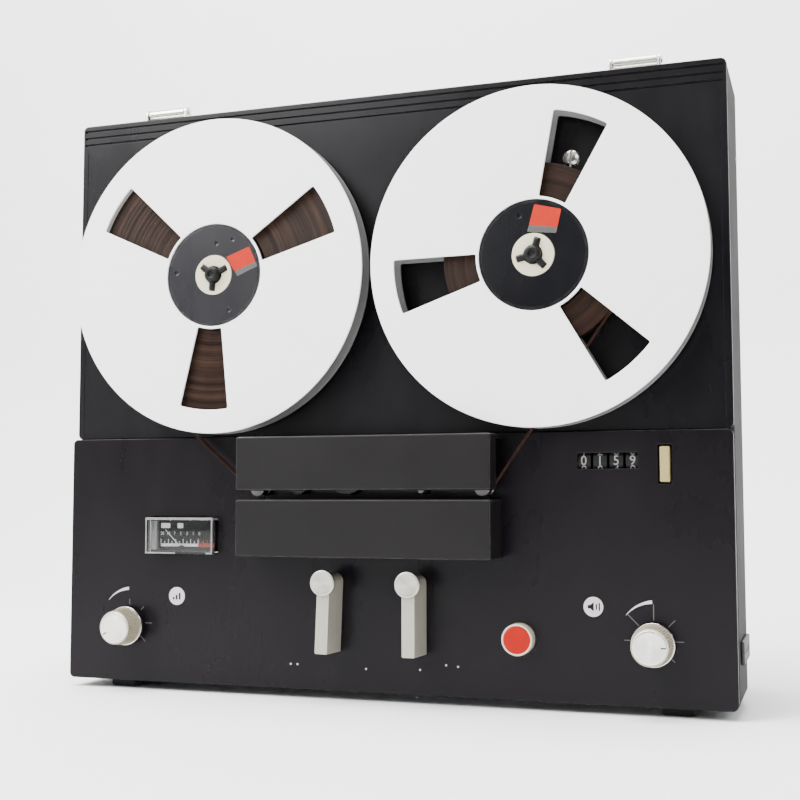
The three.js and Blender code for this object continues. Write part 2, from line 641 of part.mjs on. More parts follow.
/** One transport lever: a tapered bar on a shaft, a cam inside, and a turned cap in front. */
function addLever(side) {
  const lever = new THREE.Group();
  lever.position.set(LEVER.x[side], 0, LEVER.z);
  if (side === 'left') lever.rotation.y = LEFT_LEVER_LEAN;
  const frontHalf = 3.6;
  const backHalf = 4.8;
  const steps = 3;
  let bar = null;
  for (let i = 0; i < steps; i += 1) {
    const y0 = LEVER.front + ((LEVER.back - LEVER.front) * i) / steps;
    const y1 = LEVER.front + ((LEVER.back - LEVER.front) * (i + 1)) / steps;
    const half = frontHalf + ((backHalf - frontHalf) * (i + 0.5)) / steps;
    const slice = block(-half, half, y0, y1, -LEVER.length, 0).add(rod(0, 0, half, y0, y1));
    bar = bar ? bar.add(slice) : slice;
  }
  const shaft = rod(0, 0, 3, LEVER.back - 1, -43.5);
  const cam = plate(linkOutline(0, 0, 8, 0, 13, 4), PANEL_INNER + 0.5, -43.8, 6);
  lever.add(makeMesh(`${side}_lever`, bar.add(shaft).add(cam), 'champagne'));
  const cap = turned([
    [0, -71.2], [6.3, -71.2], [7, -70.6], [7, LEVER.front - GAP], [0, LEVER.front - GAP],
  ], MEDIUM_ROUND);
  lever.add(makeMesh(`${side}_lever_cap`, cap, 'brightMetal'));
  deck.add(lever);
}

/** One rotary knob on its shaft, with the potentiometer behind the panel. */
function addKnob(side) {
  const knob = turned([
    [0, KNOB.front],
    [8.8, KNOB.front],
    [9.3, KNOB.front + 0.6],
    [10.4, KNOB.back - 2.5],
    [10.9, KNOB.back - 2],
    [10.9, KNOB.back],
    [3, KNOB.back],
    [3, -41],
    [0, -41],
  ], MEDIUM_ROUND);
  place(`${side}_knob`, knob, 'brightMetal', KNOB.x[side], 0, KNOB.z);
  const pot = turned([
    [3.3, PANEL_INNER + GAP],
    [12, PANEL_INNER + GAP],
    [12, -35],
    [0, -35],
    [0, -40.6],
    [3.3, -40.6],
    [3.3, PANEL_INNER + GAP],
  ], 24);
  place(`${side}_potentiometer`, pot, 'steel', KNOB.x[side], 0, KNOB.z);
}

/** The round record button and the switch that its stem reaches. */
function addRecordButton() {
  const r = RECORD_BUTTON.radius;
  const button = turned([
    [0, RECORD_BUTTON.front],
    [r - 0.6, RECORD_BUTTON.front],
    [r, RECORD_BUTTON.front + 0.6],
    [r, PANEL_INNER + 0.4],
    [r + 1.3, PANEL_INNER + 0.4],
    [r + 1.3, -46],
    [2.5, -46],
    [2.5, -40],
    [0, -40],
  ], MEDIUM_ROUND);
  place('record_button', button, 'red', RECORD_BUTTON.x, 0, RECORD_BUTTON.z);
  place('record_switch', block(-8, 8, -36.6, CHASSIS_FRONT - GAP, -8, 8), 'blackPlastic',
    RECORD_BUTTON.x, 0, RECORD_BUTTON.z);
}

/** The tape counter: a frame with an axle, four number wheels, and the reset key beside it. */
function addCounter() {
  const half = { inner: 17, outer: 18.5 };
  const side = (x0) => block(x0, x0 + half.outer - half.inner, -47.2, -30, -8.5, 8.5);
  const frame = side(-half.outer)
    .add(side(half.inner))
    .add(block(-half.outer, half.outer, -31.5, -30, -8.5, 8.5))
    .add(crossRod(COUNTER.axisY, 0, 1.5, -half.inner - 1, half.inner + 1, 12));
  place('counter_frame', frame, 'steel', COUNTER.x, 0, COUNTER.z);
  const names = ['thousands', 'hundreds', 'tens', 'units'];
  names.forEach((name, i) => {
    const w = COUNTER.wheelWidth / 2;
    const bore = crossRod(0, 0, 1.8, -w - 1, w + 1, 12);
    const wheel = crossRod(0, 0, COUNTER.wheelRadius, -w, w, 30).subtract(bore);
    const x = COUNTER.x + (i - 1.5) * COUNTER.pitch;
    place(`counter_wheel_${name}`, wheel, 'blackPlastic', x, COUNTER.axisY, COUNTER.z);
  });
  const [w, h] = [RESET_KEY.width / 2, RESET_KEY.height / 2];
  const key = block(-w, w, PANEL_FRONT - 1, -42, -h, h)
    .add(block(-w - 2, w + 2, PANEL_INNER + 0.4, -45.5, -h - 2, h + 2));
  place('counter_reset_key', key, 'cream', RESET_KEY.x, 0, RESET_KEY.z);
}

/** The level meter: a clear window, the case with the scale, and the needle. */
function addMeter() {
  const [w, h] = [METER.width / 2 - GAP, METER.height / 2 - GAP];
  const wall = 1.3;
  const front = PANEL_FRONT - METER_PROUD;
  const window = block(-w, w, front, -45.8, -h, h)
    .subtract(block(-w + wall, w - wall, front + wall, -44, -h + wall, h - wall));
  place('meter_window', window, 'clearPlastic', METER.x, 0, METER.z);
  const dialFront = -52;
  const inset = wall + GAP;
  const body = block(-w, w, -45.5, -26, -h, h)
    .add(block(-w + inset, w - inset, dialFront, -45, -h + inset, h - inset));
  place('meter_body', body, 'blackPlastic', METER.x, 0, METER.z);
  const hub = { radius: 1.6, front: dialFront - 1.8, back: dialFront - GAP };
  const needle = block(-0.3, 0.3, dialFront - 1.6, dialFront - 1.2, 0, 14.5)
    .add(turned([[0, hub.front], [hub.radius, hub.front], [hub.radius, hub.back], [0, hub.back]], 12));
  const needleMesh = place('meter_needle', needle, 'red', METER.x, 0, METER.z - 7);
  needleMesh.rotation.y = THREE.MathUtils.degToRad(-45);
}

// ---------------------------------------------------------------- electrics

/** Mains transformer, amplifier board, socket plate and mains inlet. */
function addElectrics() {
  const core = block(-26, 26, -14, 26, -24, 24);
  const winding = block(-16, 16, -19.2, 34, -17, 17);
  place('transformer', core.add(winding), 'steel', 115, 0, 95);

  let board = block(-40, 40, -9, -7.4, -55, 55);
  for (const [x, z] of [[-35, -50], [35, -50], [-35, 50], [35, 50]]) {
    board = board.add(rod(x, z, 2.5, CHASSIS_BACK + GAP, -8, 8));
  }
  const capacitors = [[-22, 20, 7], [0, 24, 6], [20, 22, 8], [-15, -20, 9], [18, -24, 6]];
  for (const [x, z, radius] of capacitors) {
    board = board.add(rod(x, z, radius, -8, 14, 12));
  }
  place('amplifier_board', board, 'circuitBoard', -125, 0, 130);

  const s = SOCKET_PLATE;
  let sockets = block(-s.halfWidth, s.halfWidth, HOUSING_BACK - 6, HOUSING_BACK, -s.halfHeight, s.halfHeight);
  for (let i = 0; i < 4; i += 1) {
    sockets = sockets.add(rod((i - 1.5) * 22, 0, 8.5, HOUSING_BACK - 1, HOUSING_BACK + 1.5, 24));
  }
  place('socket_plate', sockets, 'blackPlastic', s.x, 0, s.z);

  const p = POWER_INLET;
  const cavity = { halfWidth: 10, halfHeight: 6, front: HOUSING_BACK - 15 };
  let inlet = block(-p.halfWidth, p.halfWidth, HOUSING_BACK - 18, HOUSING_BACK, -p.halfHeight, p.halfHeight)
    .subtract(block(-cavity.halfWidth, cavity.halfWidth, cavity.front, HOUSING_BACK + 1,
      -cavity.halfHeight, cavity.halfHeight));
  for (const x of [-4.5, 4.5]) {
    inlet = inlet.add(rod(x, 0, 1.3, cavity.front - 1, HOUSING_BACK - 6, 12));
  }
  place('power_inlet', inlet, 'blackPlastic', p.x, 0, p.z);
}

// ---------------------------------------------------------------- assembly

addCabinetFrame();
addRearHousing();
addControlPanel();
addDeckPlate();
addChassis();
addCabinetFittings();
for (const side of ['left', 'right']) {
  addReel(side);
  addLever(side);
  addKnob(side);
}
addTapeRun();
addHeadBlock();
addHeadCovers();
addDrive();
addRecordButton();
addCounter();
addMeter();
addElectrics();

export default deck;
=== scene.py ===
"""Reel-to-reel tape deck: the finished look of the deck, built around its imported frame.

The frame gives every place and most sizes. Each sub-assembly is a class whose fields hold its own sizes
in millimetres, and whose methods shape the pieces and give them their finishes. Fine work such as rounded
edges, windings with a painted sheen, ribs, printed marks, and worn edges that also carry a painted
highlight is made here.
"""

import functools
import json
import logging
import math
from collections.abc import Callable, Iterable, Sequence
from dataclasses import dataclass, field
from enum import Enum
from itertools import pairwise

import bmesh
import bpy
from mathutils import Euler, Matrix, Vector

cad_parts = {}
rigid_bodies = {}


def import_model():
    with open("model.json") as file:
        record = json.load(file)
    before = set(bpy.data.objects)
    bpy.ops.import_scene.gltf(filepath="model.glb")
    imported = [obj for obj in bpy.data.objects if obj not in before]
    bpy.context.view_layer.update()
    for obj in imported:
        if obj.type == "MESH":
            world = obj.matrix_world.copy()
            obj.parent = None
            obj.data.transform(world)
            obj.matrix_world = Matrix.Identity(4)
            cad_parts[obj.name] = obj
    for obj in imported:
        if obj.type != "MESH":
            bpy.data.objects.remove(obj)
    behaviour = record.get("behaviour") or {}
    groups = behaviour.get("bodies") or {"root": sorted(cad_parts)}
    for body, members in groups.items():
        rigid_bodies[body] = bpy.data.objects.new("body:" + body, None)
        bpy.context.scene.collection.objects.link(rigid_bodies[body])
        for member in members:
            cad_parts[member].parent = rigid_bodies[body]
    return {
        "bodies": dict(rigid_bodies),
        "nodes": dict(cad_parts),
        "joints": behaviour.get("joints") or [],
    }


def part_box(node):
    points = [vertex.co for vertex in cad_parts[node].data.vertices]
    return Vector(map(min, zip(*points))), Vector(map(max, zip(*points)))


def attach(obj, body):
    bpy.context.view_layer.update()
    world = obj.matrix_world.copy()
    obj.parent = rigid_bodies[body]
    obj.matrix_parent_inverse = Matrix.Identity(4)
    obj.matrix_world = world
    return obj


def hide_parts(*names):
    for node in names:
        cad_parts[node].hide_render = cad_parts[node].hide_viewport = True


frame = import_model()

LOG = logging.getLogger("tape_deck")

MM = 0.001  # metres in a millimetre
INK = 0.06  # thickness of a printed mark
WORN_AND_LIT_EDGE_WIDTH = 0.7  # how far the wear and the painted edge highlight reach from an edge
SIDES = {"left": -1, "right": 1}

Point = tuple[float, float]
Outline = list[Point]
Colour = tuple[float, float, float]


# ---------------------------------------------------------------- places from the frame


def box_mm(node: str) -> tuple[Vector, Vector]:
    """Gives the lowest and highest corners of a frame node.

    Args:
        node: Name of the node.

    Returns:
        The two corners, in millimetres.
    """
    low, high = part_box(node)
    return low / MM, high / MM


def centre_mm(node: str) -> Vector:
    """Gives the middle of a frame node's box, in millimetres."""
    low, high = box_mm(node)
    return (low + high) / 2


def joint_place_mm(name: str) -> Vector:
    """Gives a point on a hinge's axis.

    Args:
        name: Name of the joint.

    Returns:
        The point, in millimetres.
    """
    joint = next(j for j in frame["joints"] if j["name"] == name)
    return Vector(joint["pos_m"]) / MM


def joint_axis_mm(name: str) -> Vector:
    """Gives a joint's place in X and Z, with Y at 0, in millimetres."""
    place = joint_place_mm(name)
    return Vector((place.x, 0, place.z))


# ---------------------------------------------------------------- outlines in X and Z


def arc(x: float, z: float, radius: float, start: float, end: float, steps: int) -> Outline:
    """Lists points along an arc.

    Args:
        x: Centre across.
        z: Centre upright.
        radius: Radius.
        start: First angle in degrees from +X.
        end: Last angle in degrees.
        steps: Number of chords.

    Returns:
        The points, both ends included.
    """
    angles = [math.radians(start + (end - start) * k / steps) for k in range(steps + 1)]
    return [(x + radius * math.cos(a), z + radius * math.sin(a)) for a in angles]


def circle(x: float, z: float, radius: float, steps: int = 48) -> Outline:
    """Lists the points of a full circle, anticlockwise."""
    return arc(x, z, radius, 0, 360, steps)[:-1]


def rectangle(x0: float, x1: float, z0: float, z1: float, radius: float = 0, steps: int = 5) -> Outline:
    """Lists the points of a rectangle.

    Args:
        x0: Left side.
        x1: Right side.
        z0: Bottom.
        z1: Top.
        radius: Radius of the corners, or 0 for square ones.
        steps: Chords in each rounded corner.

    Returns:
        The points, anticlockwise.
    """
    if radius <= 0:
        return [(x0, z0), (x1, z0), (x1, z1), (x0, z1)]
    corners = [(x1, z0, 270), (x1, z1, 0), (x0, z1, 90), (x0, z0, 180)]
    points: Outline = []
    for x, z, start in corners:
        cx = x - math.copysign(radius, x - (x0 + x1) / 2)
        cz = z - math.copysign(radius, z - (z0 + z1) / 2)
        points += arc(cx, cz, radius, start, start + 90, steps)
    return points


def rounded(points: Sequence[Point], radius: float, steps: int = 3, closed: bool = True) -> Outline:
    """Softens the corners of a line of points.

    Args:
        points: The corners.
        radius: How far from a corner its curve begins.
        steps: Chords in each curve.
        closed: Whether the last point joins the first. An open line keeps its two ends.

    Returns:
        The softened line.
    """
    soft: Outline = []
    count = len(points)
    for i, corner in enumerate(points):
        if not closed and i in (0, count - 1):
            soft.append(tuple(corner))
            continue
        here = Vector(corner)
        before = Vector(points[i - 1]) - here
        after = Vector(points[(i + 1) % count]) - here
        reach = min(radius, before.length * 0.45, after.length * 0.45)
        first = here + before.normalized() * reach
        last = here + after.normalized() * reach
        for k in range(steps + 1):
            t = k / steps
            spot = first * (1 - t) ** 2 + here * 2 * t * (1 - t) + last * t**2
            soft.append((spot.x, spot.y))
    return soft


def ring_section(points: Sequence[Point], radius: float) -> Outline:
    """Gives a softened section that closes on itself, for a turned ring."""
    section = rounded(points, radius, 3)
    return [*section, section[0]]


def signed_area(outline: Outline) -> float:
    """Gives twice the area inside an outline: positive where it runs anticlockwise."""
    return sum(a[0] * b[1] - b[0] * a[1] for a, b in zip(outline, outline[1:] + outline[:1]))


def wound(outline: Outline, anticlockwise: bool) -> Outline:
    """Gives the outline with its points in the wanted order."""
    return outline if (signed_area(outline) > 0) == anticlockwise else outline[::-1]


def drawn_in(outline: Outline, amount: float) -> Outline:
    """Moves an outline to the left of its direction of travel.

    Args:
        outline: Anticlockwise for a rim, which then shrinks, or clockwise for a hole, which then grows.
        amount: Distance moved.

    Returns:
        The moved outline.
    """
    moved: Outline = []
    count = len(outline)
    for i, spot in enumerate(outline):
        here = Vector(spot)
        arriving = (here - Vector(outline[i - 1])).normalized()
        leaving = (Vector(outline[(i + 1) % count]) - here).normalized()
        normal = Vector((-arriving.y - leaving.y, arriving.x + leaving.x))
        mitre = normal * (2 * amount / max(normal.length_squared, 0.5))
        moved.append((here.x + mitre.x, here.y + mitre.y))
    return moved


# ---------------------------------------------------------------- shaping


class Axis(Enum):
    """The direction that a turned piece's axis runs in."""

    ACROSS = 0
    DEPTH = 1
    UPRIGHT = 2


@dataclass(frozen=True)
class Ribs:
    """Grooves round part of a turned piece: their number, their depth and where they start and end."""

    count: int
    depth: float
    first: float
    last: float


class Form:
    """A mesh under work, in millimetres."""

    def __init__(self) -> None:
        """Starts with nothing in it."""
        self.bm = bmesh.new()

    def ring(self, points: Iterable[Vector]) -> list[bmesh.types.BMVert]:
        """Adds the vertices of one ring."""
        return [self.bm.verts.new(p) for p in points]

    def skin(self, rings: Sequence[list[bmesh.types.BMVert]], round_trip: bool = True) -> None:
        """Stretches faces between rings that have the same number of points.

        Args:
            rings: The rings, in order.
            round_trip: Whether each ring's last point joins its first.
        """
        for near, far in pairwise(rings):
            count = len(near)
            for i in range(count if round_trip else count - 1):
                j = (i + 1) % count
                self.bm.faces.new((near[i], near[j], far[j], far[i]))

    def cap(self, rings: Sequence[list[bmesh.types.BMVert]]) -> None:
        """Fills a flat end, which may have holes.

        Args:
            rings: The outer ring and the rings of the holes.
        """
        edges = []
        for ring in rings:
            for a, b in zip(ring, ring[1:] + ring[:1]):
                edges.append(self.bm.edges.get((a, b)) or self.bm.edges.new((a, b)))
        bmesh.ops.triangle_fill(self.bm, use_beauty=True, use_dissolve=False, edges=edges)

    def add(self, *others: "Form") -> "Form":
        """Takes in other forms as separate shells, and returns this one."""
        for other in others:
            mesh = bpy.data.meshes.new("part")
            other.bm.to_mesh(mesh)
            self.bm.from_mesh(mesh)
            bpy.data.meshes.remove(mesh)
        return self

    def copy(self) -> "Form":
        """Gives a second form of the same shape."""
        return Form().add(self)

    def moved(self, x: float = 0, y: float = 0, z: float = 0) -> "Form":
        """Shifts the form, and returns it."""
        bmesh.ops.translate(self.bm, verts=self.bm.verts, vec=(x, y, z))
        return self

    def turned_by(self, degrees: float, pivot: Vector, axis: Axis = Axis.DEPTH) -> "Form":
        """Turns the form about a line, and returns it.

        Args:
            degrees: The angle. About DEPTH, a positive one is anticlockwise as seen from the front.
            pivot: A point on the line.
            axis: The line's direction.

        Returns:
            This form.
        """
        sign = -1 if axis is Axis.DEPTH else 1
        turn = Matrix.Rotation(sign * math.radians(degrees), 3, "XYZ"[axis.value])
        bmesh.ops.rotate(self.bm, verts=self.bm.verts, cent=pivot, matrix=turn)
        return self

    def bent(self, rule: Callable[[Vector], Vector]) -> "Form":
        """Moves every vertex by a rule, and returns the form."""
        for vertex in self.bm.verts:
            vertex.co = rule(vertex.co.copy())
        return self

    def carved(self, *cutters: "Form") -> "Form":
        """Cuts other forms away.

        Args:
            cutters: The closed forms to take away.

        Returns:
            This form, now with the cuts in it.
        """
        body = self.settle().plain_object("carved")
        helper = cutters[0].copy()
        for cutter in cutters[1:]:
            helper.add(cutter)
        tool = helper.settle().plain_object("cutter")
        cut = body.modifiers.new("cut", "BOOLEAN")
        cut.operation = "DIFFERENCE"
        cut.solver = "EXACT"
        cut.use_self = True
        cut.object = tool
        bpy.context.view_layer.update()
        result = body.evaluated_get(bpy.context.evaluated_depsgraph_get()).to_mesh()
        self.bm = bmesh.new()
        self.bm.from_mesh(result)
        for helper_object in (body, tool):
            mesh = helper_object.data
            bpy.data.objects.remove(helper_object)
            bpy.data.meshes.remove(mesh)
        return self

    def settle(self) -> "Form":
        """Joins points that coincide, turns every face outwards, and returns the form."""
        bmesh.ops.remove_doubles(self.bm, verts=self.bm.verts, dist=1e-4)
        bmesh.ops.dissolve_degenerate(self.bm, dist=1e-5, edges=self.bm.edges)
        bmesh.ops.recalc_face_normals(self.bm, faces=self.bm.faces)
        return self

    def plain_object(self, name: str) -> bpy.types.Object:
        """Turns the form into an object whose units are still millimetres."""
        mesh = bpy.data.meshes.new(name)
        self.bm.to_mesh(mesh)
        self.bm.free()
        piece = bpy.data.objects.new(name, mesh)
        bpy.context.scene.collection.objects.link(piece)
        return piece

    def piece(self, name: str, smooth_below: float = 32) -> bpy.types.Object:
        """Turns the form into a finished object in metres.

        Args:
            name: The object's name.
            smooth_below: Faces that meet at less than this angle, in degrees, shade as one surface.

        Returns:
            The object, with normals that keep its flat faces flat.
        """
        self.settle()
        bmesh.ops.scale(self.bm, verts=self.bm.verts, vec=(MM, MM, MM))
        piece = self.plain_object(name)
        piece.data.polygons.foreach_set("use_smooth", [True] * len(piece.data.polygons))
        piece.data.set_sharp_from_angle(angle=math.radians(smooth_below))
        normals = piece.modifiers.new("flat_faces", "WEIGHTED_NORMAL")
        normals.keep_sharp = True
        normals.weight = 90
        return piece


def lofted(sections: Sequence[tuple[Outline, float]]) -> Form:
    """Builds a closed form through outlines that stand at different depths.

    Args:
        sections: Each outline in X and Z with its Y. All have the same number of points.

    Returns:
        The form, closed at both ends.
    """
    form = Form()
    rings = [form.ring(Vector((x, y, z)) for x, z in outline) for outline, y in sections]
    form.skin(rings)
    form.cap([rings[0]])
    form.cap([rings[-1]])
    return form


def plate(outline: Outline, front: float, back: float, edge: float = 0.3,
          holes: Sequence[Outline] = (), steps: int = 3) -> Form:
    """Builds a flat plate with rounded rims.

    Args:
        outline: The rim, in X and Z.
        front: Y of the front face.
        back: Y of the rear face.
        edge: Radius of the rounding on both faces, or 0 for a square rim.
        holes: Outlines of the holes.
        steps: Chords across each rounding.

    Returns:
        The form.
    """
    angles = [math.pi / 2 * k / steps for k in range(steps + 1)] if edge > 0 else [math.pi / 2]
    quarter = [(edge * (1 - math.sin(a)), edge * (1 - math.cos(a))) for a in angles]
    stations = [(inset, front + depth) for inset, depth in quarter]
    stations += [(inset, back - depth) for inset, depth in reversed(quarter)]
    form = Form()
    ends: tuple[list, list] = ([], [])
    for loop in [wound(list(outline), True), *(wound(list(hole), False) for hole in holes)]:
        rings = [form.ring(Vector((x, y, z)) for x, z in drawn_in(loop, inset)) for inset, y in stations]
        form.skin(rings)
        ends[0].append(rings[0])
        ends[1].append(rings[-1])
    form.cap(ends[0])
    form.cap(ends[1])
    return form


def block(low: Sequence[float], high: Sequence[float], edge: float = 0.4, steps: int = 3) -> Form:
    """Builds a block with every edge rounded.

    Args:
        low: Its lowest corner.
        high: Its highest corner.
        edge: Radius of the rounding, or 0 for none.
        steps: Faces across each rounding.

    Returns:
        The form.
    """
    form = Form()
    bmesh.ops.create_cube(form.bm, size=1)
    size = Vector(high) - Vector(low)
    middle = (Vector(high) + Vector(low)) / 2
    bmesh.ops.scale(form.bm, verts=form.bm.verts, vec=size)
    bmesh.ops.translate(form.bm, verts=form.bm.verts, vec=middle)
    if edge > 0:
        bmesh.ops.bevel(form.bm, geom=form.bm.edges[:], offset=edge, segments=steps, profile=0.5,
                        affect="EDGES", clamp_overlap=True)
    return form


def turned(profile: Sequence[Point], centre: Sequence[float] = (0, 0, 0), steps: int = 96,
           axis: Axis = Axis.DEPTH, ribs: Ribs | None = None) -> Form:
    """Builds a piece as a lathe does, from half of its section.

    Args:
        profile: Points (radius, distance along the axis). It starts and ends on the axis, or is closed.
        centre: A point that the axis passes through. Distances along the axis count from it.
        steps: Facets round the piece.
        axis: Direction of the axis.
        ribs: Grooves round a stretch of it.

    Returns:
        The form.
    """
    form = Form()
    closed = profile[0] == profile[-1]
    points = profile[:-1] if closed else profile
    along, first, second = {
        Axis.ACROSS: (0, 1, 2), Axis.DEPTH: (1, 0, 2), Axis.UPRIGHT: (2, 0, 1)}[axis]

    def spot(radius: float, distance: float, k: int) -> Vector:
        """Gives one vertex of the ring at a distance along the axis."""
        angle = 2 * math.pi * k / steps
        if ribs and radius > 0 and ribs.first <= distance <= ribs.last:
            radius -= ribs.depth * (0.5 - 0.5 * math.cos(ribs.count * angle))
        place = Vector(centre)
        place[along] += distance
        place[first] += radius * math.cos(angle)
        place[second] += radius * math.sin(angle)
        return place

    rings = [form.ring(spot(r, y, k) for k in range(steps)) for r, y in points]
    form.skin(rings + rings[:1] if closed else rings)
    return form


def written(text: str, height: float, x: float, z: float, face: float, narrow: float = 1.0) -> Form:
    """Builds printed figures that face the front.

    Args:
        text: Plain numbers or signs.
        height: Height of the figures.
        x: Middle of the figures across.
        z: Middle of the figures upright.
        face: Y of the surface that they are printed on.
        narrow: Width of the figures against their normal width.

    Returns:
        The form, standing a hair's breadth proud of the surface.
    """
    curve = bpy.data.curves.new("figures", "FONT")
    curve.body = text
    curve.size = height * 1.42
    curve.align_x = "CENTER"
    curve.align_y = "CENTER"
    curve.extrude = INK / 2
    curve.resolution_u = 3
    helper = bpy.data.objects.new("figures", curve)
    bpy.context.scene.collection.objects.link(helper)
    bpy.context.view_layer.update()
    mesh = bpy.data.meshes.new_from_object(helper.evaluated_get(bpy.context.evaluated_depsgraph_get()))
    form = Form()
    form.bm.from_mesh(mesh)
    bpy.data.objects.remove(helper)
    bpy.data.curves.remove(curve)
    bpy.data.meshes.remove(mesh)
    form.bent(lambda v: Vector((x + v.x * narrow, face - INK / 2 - v.z, z + v.y)))
    return form


# ---------------------------------------------------------------- shared effects


class Sheet:
    """A node tree being drawn, with short ways to add nodes and links."""

    def __init__(self, tree: bpy.types.NodeTree) -> None:
        """Starts on a tree.

        Args:
            tree: A material's or a group's node tree.
        """
        self.tree = tree

    def node(self, kind: str, **inputs: object) -> bpy.types.Node:
        """Adds a node.

        Args:
            kind: The node's type, without the ShaderNode prefix.
            inputs: A value or a source socket for each input, by name with _ for a space.

        Returns:
            The node.
        """
        node = self.tree.nodes.new("ShaderNode" + kind)
        for key, value in inputs.items():
            self.feed(node.inputs[key.replace("_", " ")], value)
        return node

    def feed(self, socket: bpy.types.NodeSocket, value: object) -> None:
        """Gives an input a source socket or a plain value."""
        if isinstance(value, bpy.types.NodeSocket):
            self.tree.links.new(value, socket)
        else:
            socket.default_value = value

    def maths(self, operation: str, *values: object) -> bpy.types.NodeSocket:
        """Adds a Math node and gives its output."""
        node = self.tree.nodes.new("ShaderNodeMath")
        node.operation = operation
        for socket, value in zip(node.inputs, values):
            self.feed(socket, value)
        return node.outputs[0]

    def vector_maths(self, operation: str, *values: object) -> bpy.types.Node:
        """Adds a Vector Math node."""
        node = self.tree.nodes.new("ShaderNodeVectorMath")
        node.operation = operation
        for socket, value in zip(node.inputs, values):
            self.feed(socket, value)
        return node

    def mapped(self, value: object, low: float, high: float, to_low: float = 0, to_high: float = 1,
               ) -> bpy.types.NodeSocket:
        """Stretches a range of a value to another range, and stops at its ends."""
        node = self.node("MapRange", Value=value, From_Min=low, From_Max=high, To_Min=to_low, To_Max=to_high)
        node.clamp = True
        return node.outputs["Result"]

    def mixed(self, factor: object, first: object, second: object) -> bpy.types.NodeSocket:
        """Mixes two colours."""
        node = self.tree.nodes.new("ShaderNodeMix")
        node.data_type = "RGBA"
        colours = [socket for socket in node.inputs if socket.type == "RGBA"]
        self.feed(node.inputs[0], factor)
        self.feed(colours[0], first)
        self.feed(colours[1], second)
        return next(socket for socket in node.outputs if socket.type == "RGBA")

    def noise(self, vector: object, scale: object, detail: float = 2, roughness: float = 0.5,
              ) -> bpy.types.NodeSocket:
        """Adds a noise texture and gives its value."""
        node = self.node("TexNoise", Vector=vector, Scale=scale, Detail=detail, Roughness=roughness)
        return node.outputs[0]


class Effect(Enum):
    """The effects that several finishes share. Each is one node group."""

    GRAIN = "fine grain"
    SMUDGES = "smudges"
    # Worn edges and a painted highlight along them, in one mask.
    EDGE_WEAR = "edge wear"
    BRUSHING = "straight brushing"
    TURNING = "lathe marks"
    DUST = "settled dust"


def start_group(effect: Effect, inputs: dict[str, str], outputs: Sequence[str],
                ) -> tuple[bpy.types.NodeTree, Sheet, bpy.types.Node, bpy.types.Node]:
    """Makes an empty node group with its sockets.

    Args:
        effect: Which effect the group holds.
        inputs: Kind of each input, Float or Vector, by name.
        outputs: Names of the outputs, all plain values.

    Returns:
        The group, a sheet on it, and its input and output nodes.
    """
    group = bpy.data.node_groups.new(effect.value, "ShaderNodeTree")
    for name, kind in inputs.items():
        group.interface.new_socket(name=name, in_out="INPUT", socket_type="NodeSocket" + kind)
    for name in outputs:
        group.interface.new_socket(name=name, in_out="OUTPUT", socket_type="NodeSocketFloat")
    source = group.nodes.new("NodeGroupInput")
    target = group.nodes.new("NodeGroupOutput")
    return group, Sheet(group), source, target


def make_grain() -> bpy.types.NodeTree:
    """Draws the grain of moulded plastic: a fine height and a softer patch value."""
    group, sheet, source, target = start_group(
        Effect.GRAIN, {"Vector": "Vector", "Scale": "Float"}, ["Height", "Patches"])
    place, scale = source.outputs["Vector"], source.outputs["Scale"]
    fine = sheet.noise(place, scale, 3, 0.6)
    coarse = sheet.noise(place, sheet.maths("MULTIPLY", scale, 0.23), 2)
    sheet.feed(target.inputs["Height"], sheet.maths("MULTIPLY_ADD", coarse, 0.4, fine))
    sheet.feed(target.inputs["Patches"], sheet.mapped(coarse, 0.35, 0.65))
    return group


def make_smudges() -> bpy.types.NodeTree:
    """Draws broad, uneven patches such as handling leaves."""
    group, sheet, source, target = start_group(
        Effect.SMUDGES, {"Vector": "Vector", "Scale": "Float"}, ["Value"])
    place, scale = source.outputs["Vector"], source.outputs["Scale"]
    broad = sheet.noise(place, scale, 4, 0.55)
    streaks = sheet.noise(sheet.vector_maths("MULTIPLY", place, (1.0, 1.0, 0.25)).outputs[0],
                          sheet.maths("MULTIPLY", scale, 5.0), 3, 0.6)
    blend = sheet.maths("MULTIPLY_ADD", streaks, 0.35, sheet.maths("MULTIPLY", broad, 0.65))
    sheet.feed(target.inputs["Value"], sheet.mapped(blend, 0.36, 0.64))
    return group


def make_edge_wear() -> bpy.types.NodeTree:
    """Draws a mask of the edges, broken up by noise, for real wear and a painted highlight along them."""
    group, sheet, source, target = start_group(
        Effect.EDGE_WEAR, {"Vector": "Vector", "Scale": "Float", "Amount": "Float"}, ["Mask"])
    rounding = sheet.node("Bevel", Radius=WORN_AND_LIT_EDGE_WIDTH * MM)
    rounding.samples = 4
    turn = sheet.vector_maths("DOT_PRODUCT", rounding.outputs["Normal"],
                              sheet.node("NewGeometry").outputs["Normal"])
    edges = sheet.mapped(turn.outputs["Value"], 0.985, 0.85)
    broken = sheet.mapped(sheet.noise(source.outputs["Vector"], source.outputs["Scale"], 4, 0.7), 0.38, 0.62)
    mask = sheet.maths("MULTIPLY", sheet.maths("MULTIPLY", edges, broken), source.outputs["Amount"])
    sheet.feed(target.inputs["Mask"], mask)
    return group


def make_brushing() -> bpy.types.NodeTree:
    """Draws straight brushing: noise drawn out along one direction."""
    group, sheet, source, target = start_group(
        Effect.BRUSHING, {"Vector": "Vector", "Squeeze": "Vector"}, ["Height", "Tone"])
    drawn = sheet.vector_maths("MULTIPLY", source.outputs["Vector"], source.outputs["Squeeze"]).outputs[0]
    lines = sheet.noise(drawn, 1.0, 4, 0.65)
    bands = sheet.noise(drawn, 0.16, 2)
    sheet.feed(target.inputs["Height"], lines)
    sheet.feed(target.inputs["Tone"], sheet.maths("MULTIPLY_ADD", bands, 0.5,
                                                  sheet.maths("MULTIPLY", lines, 0.5)))
    return group


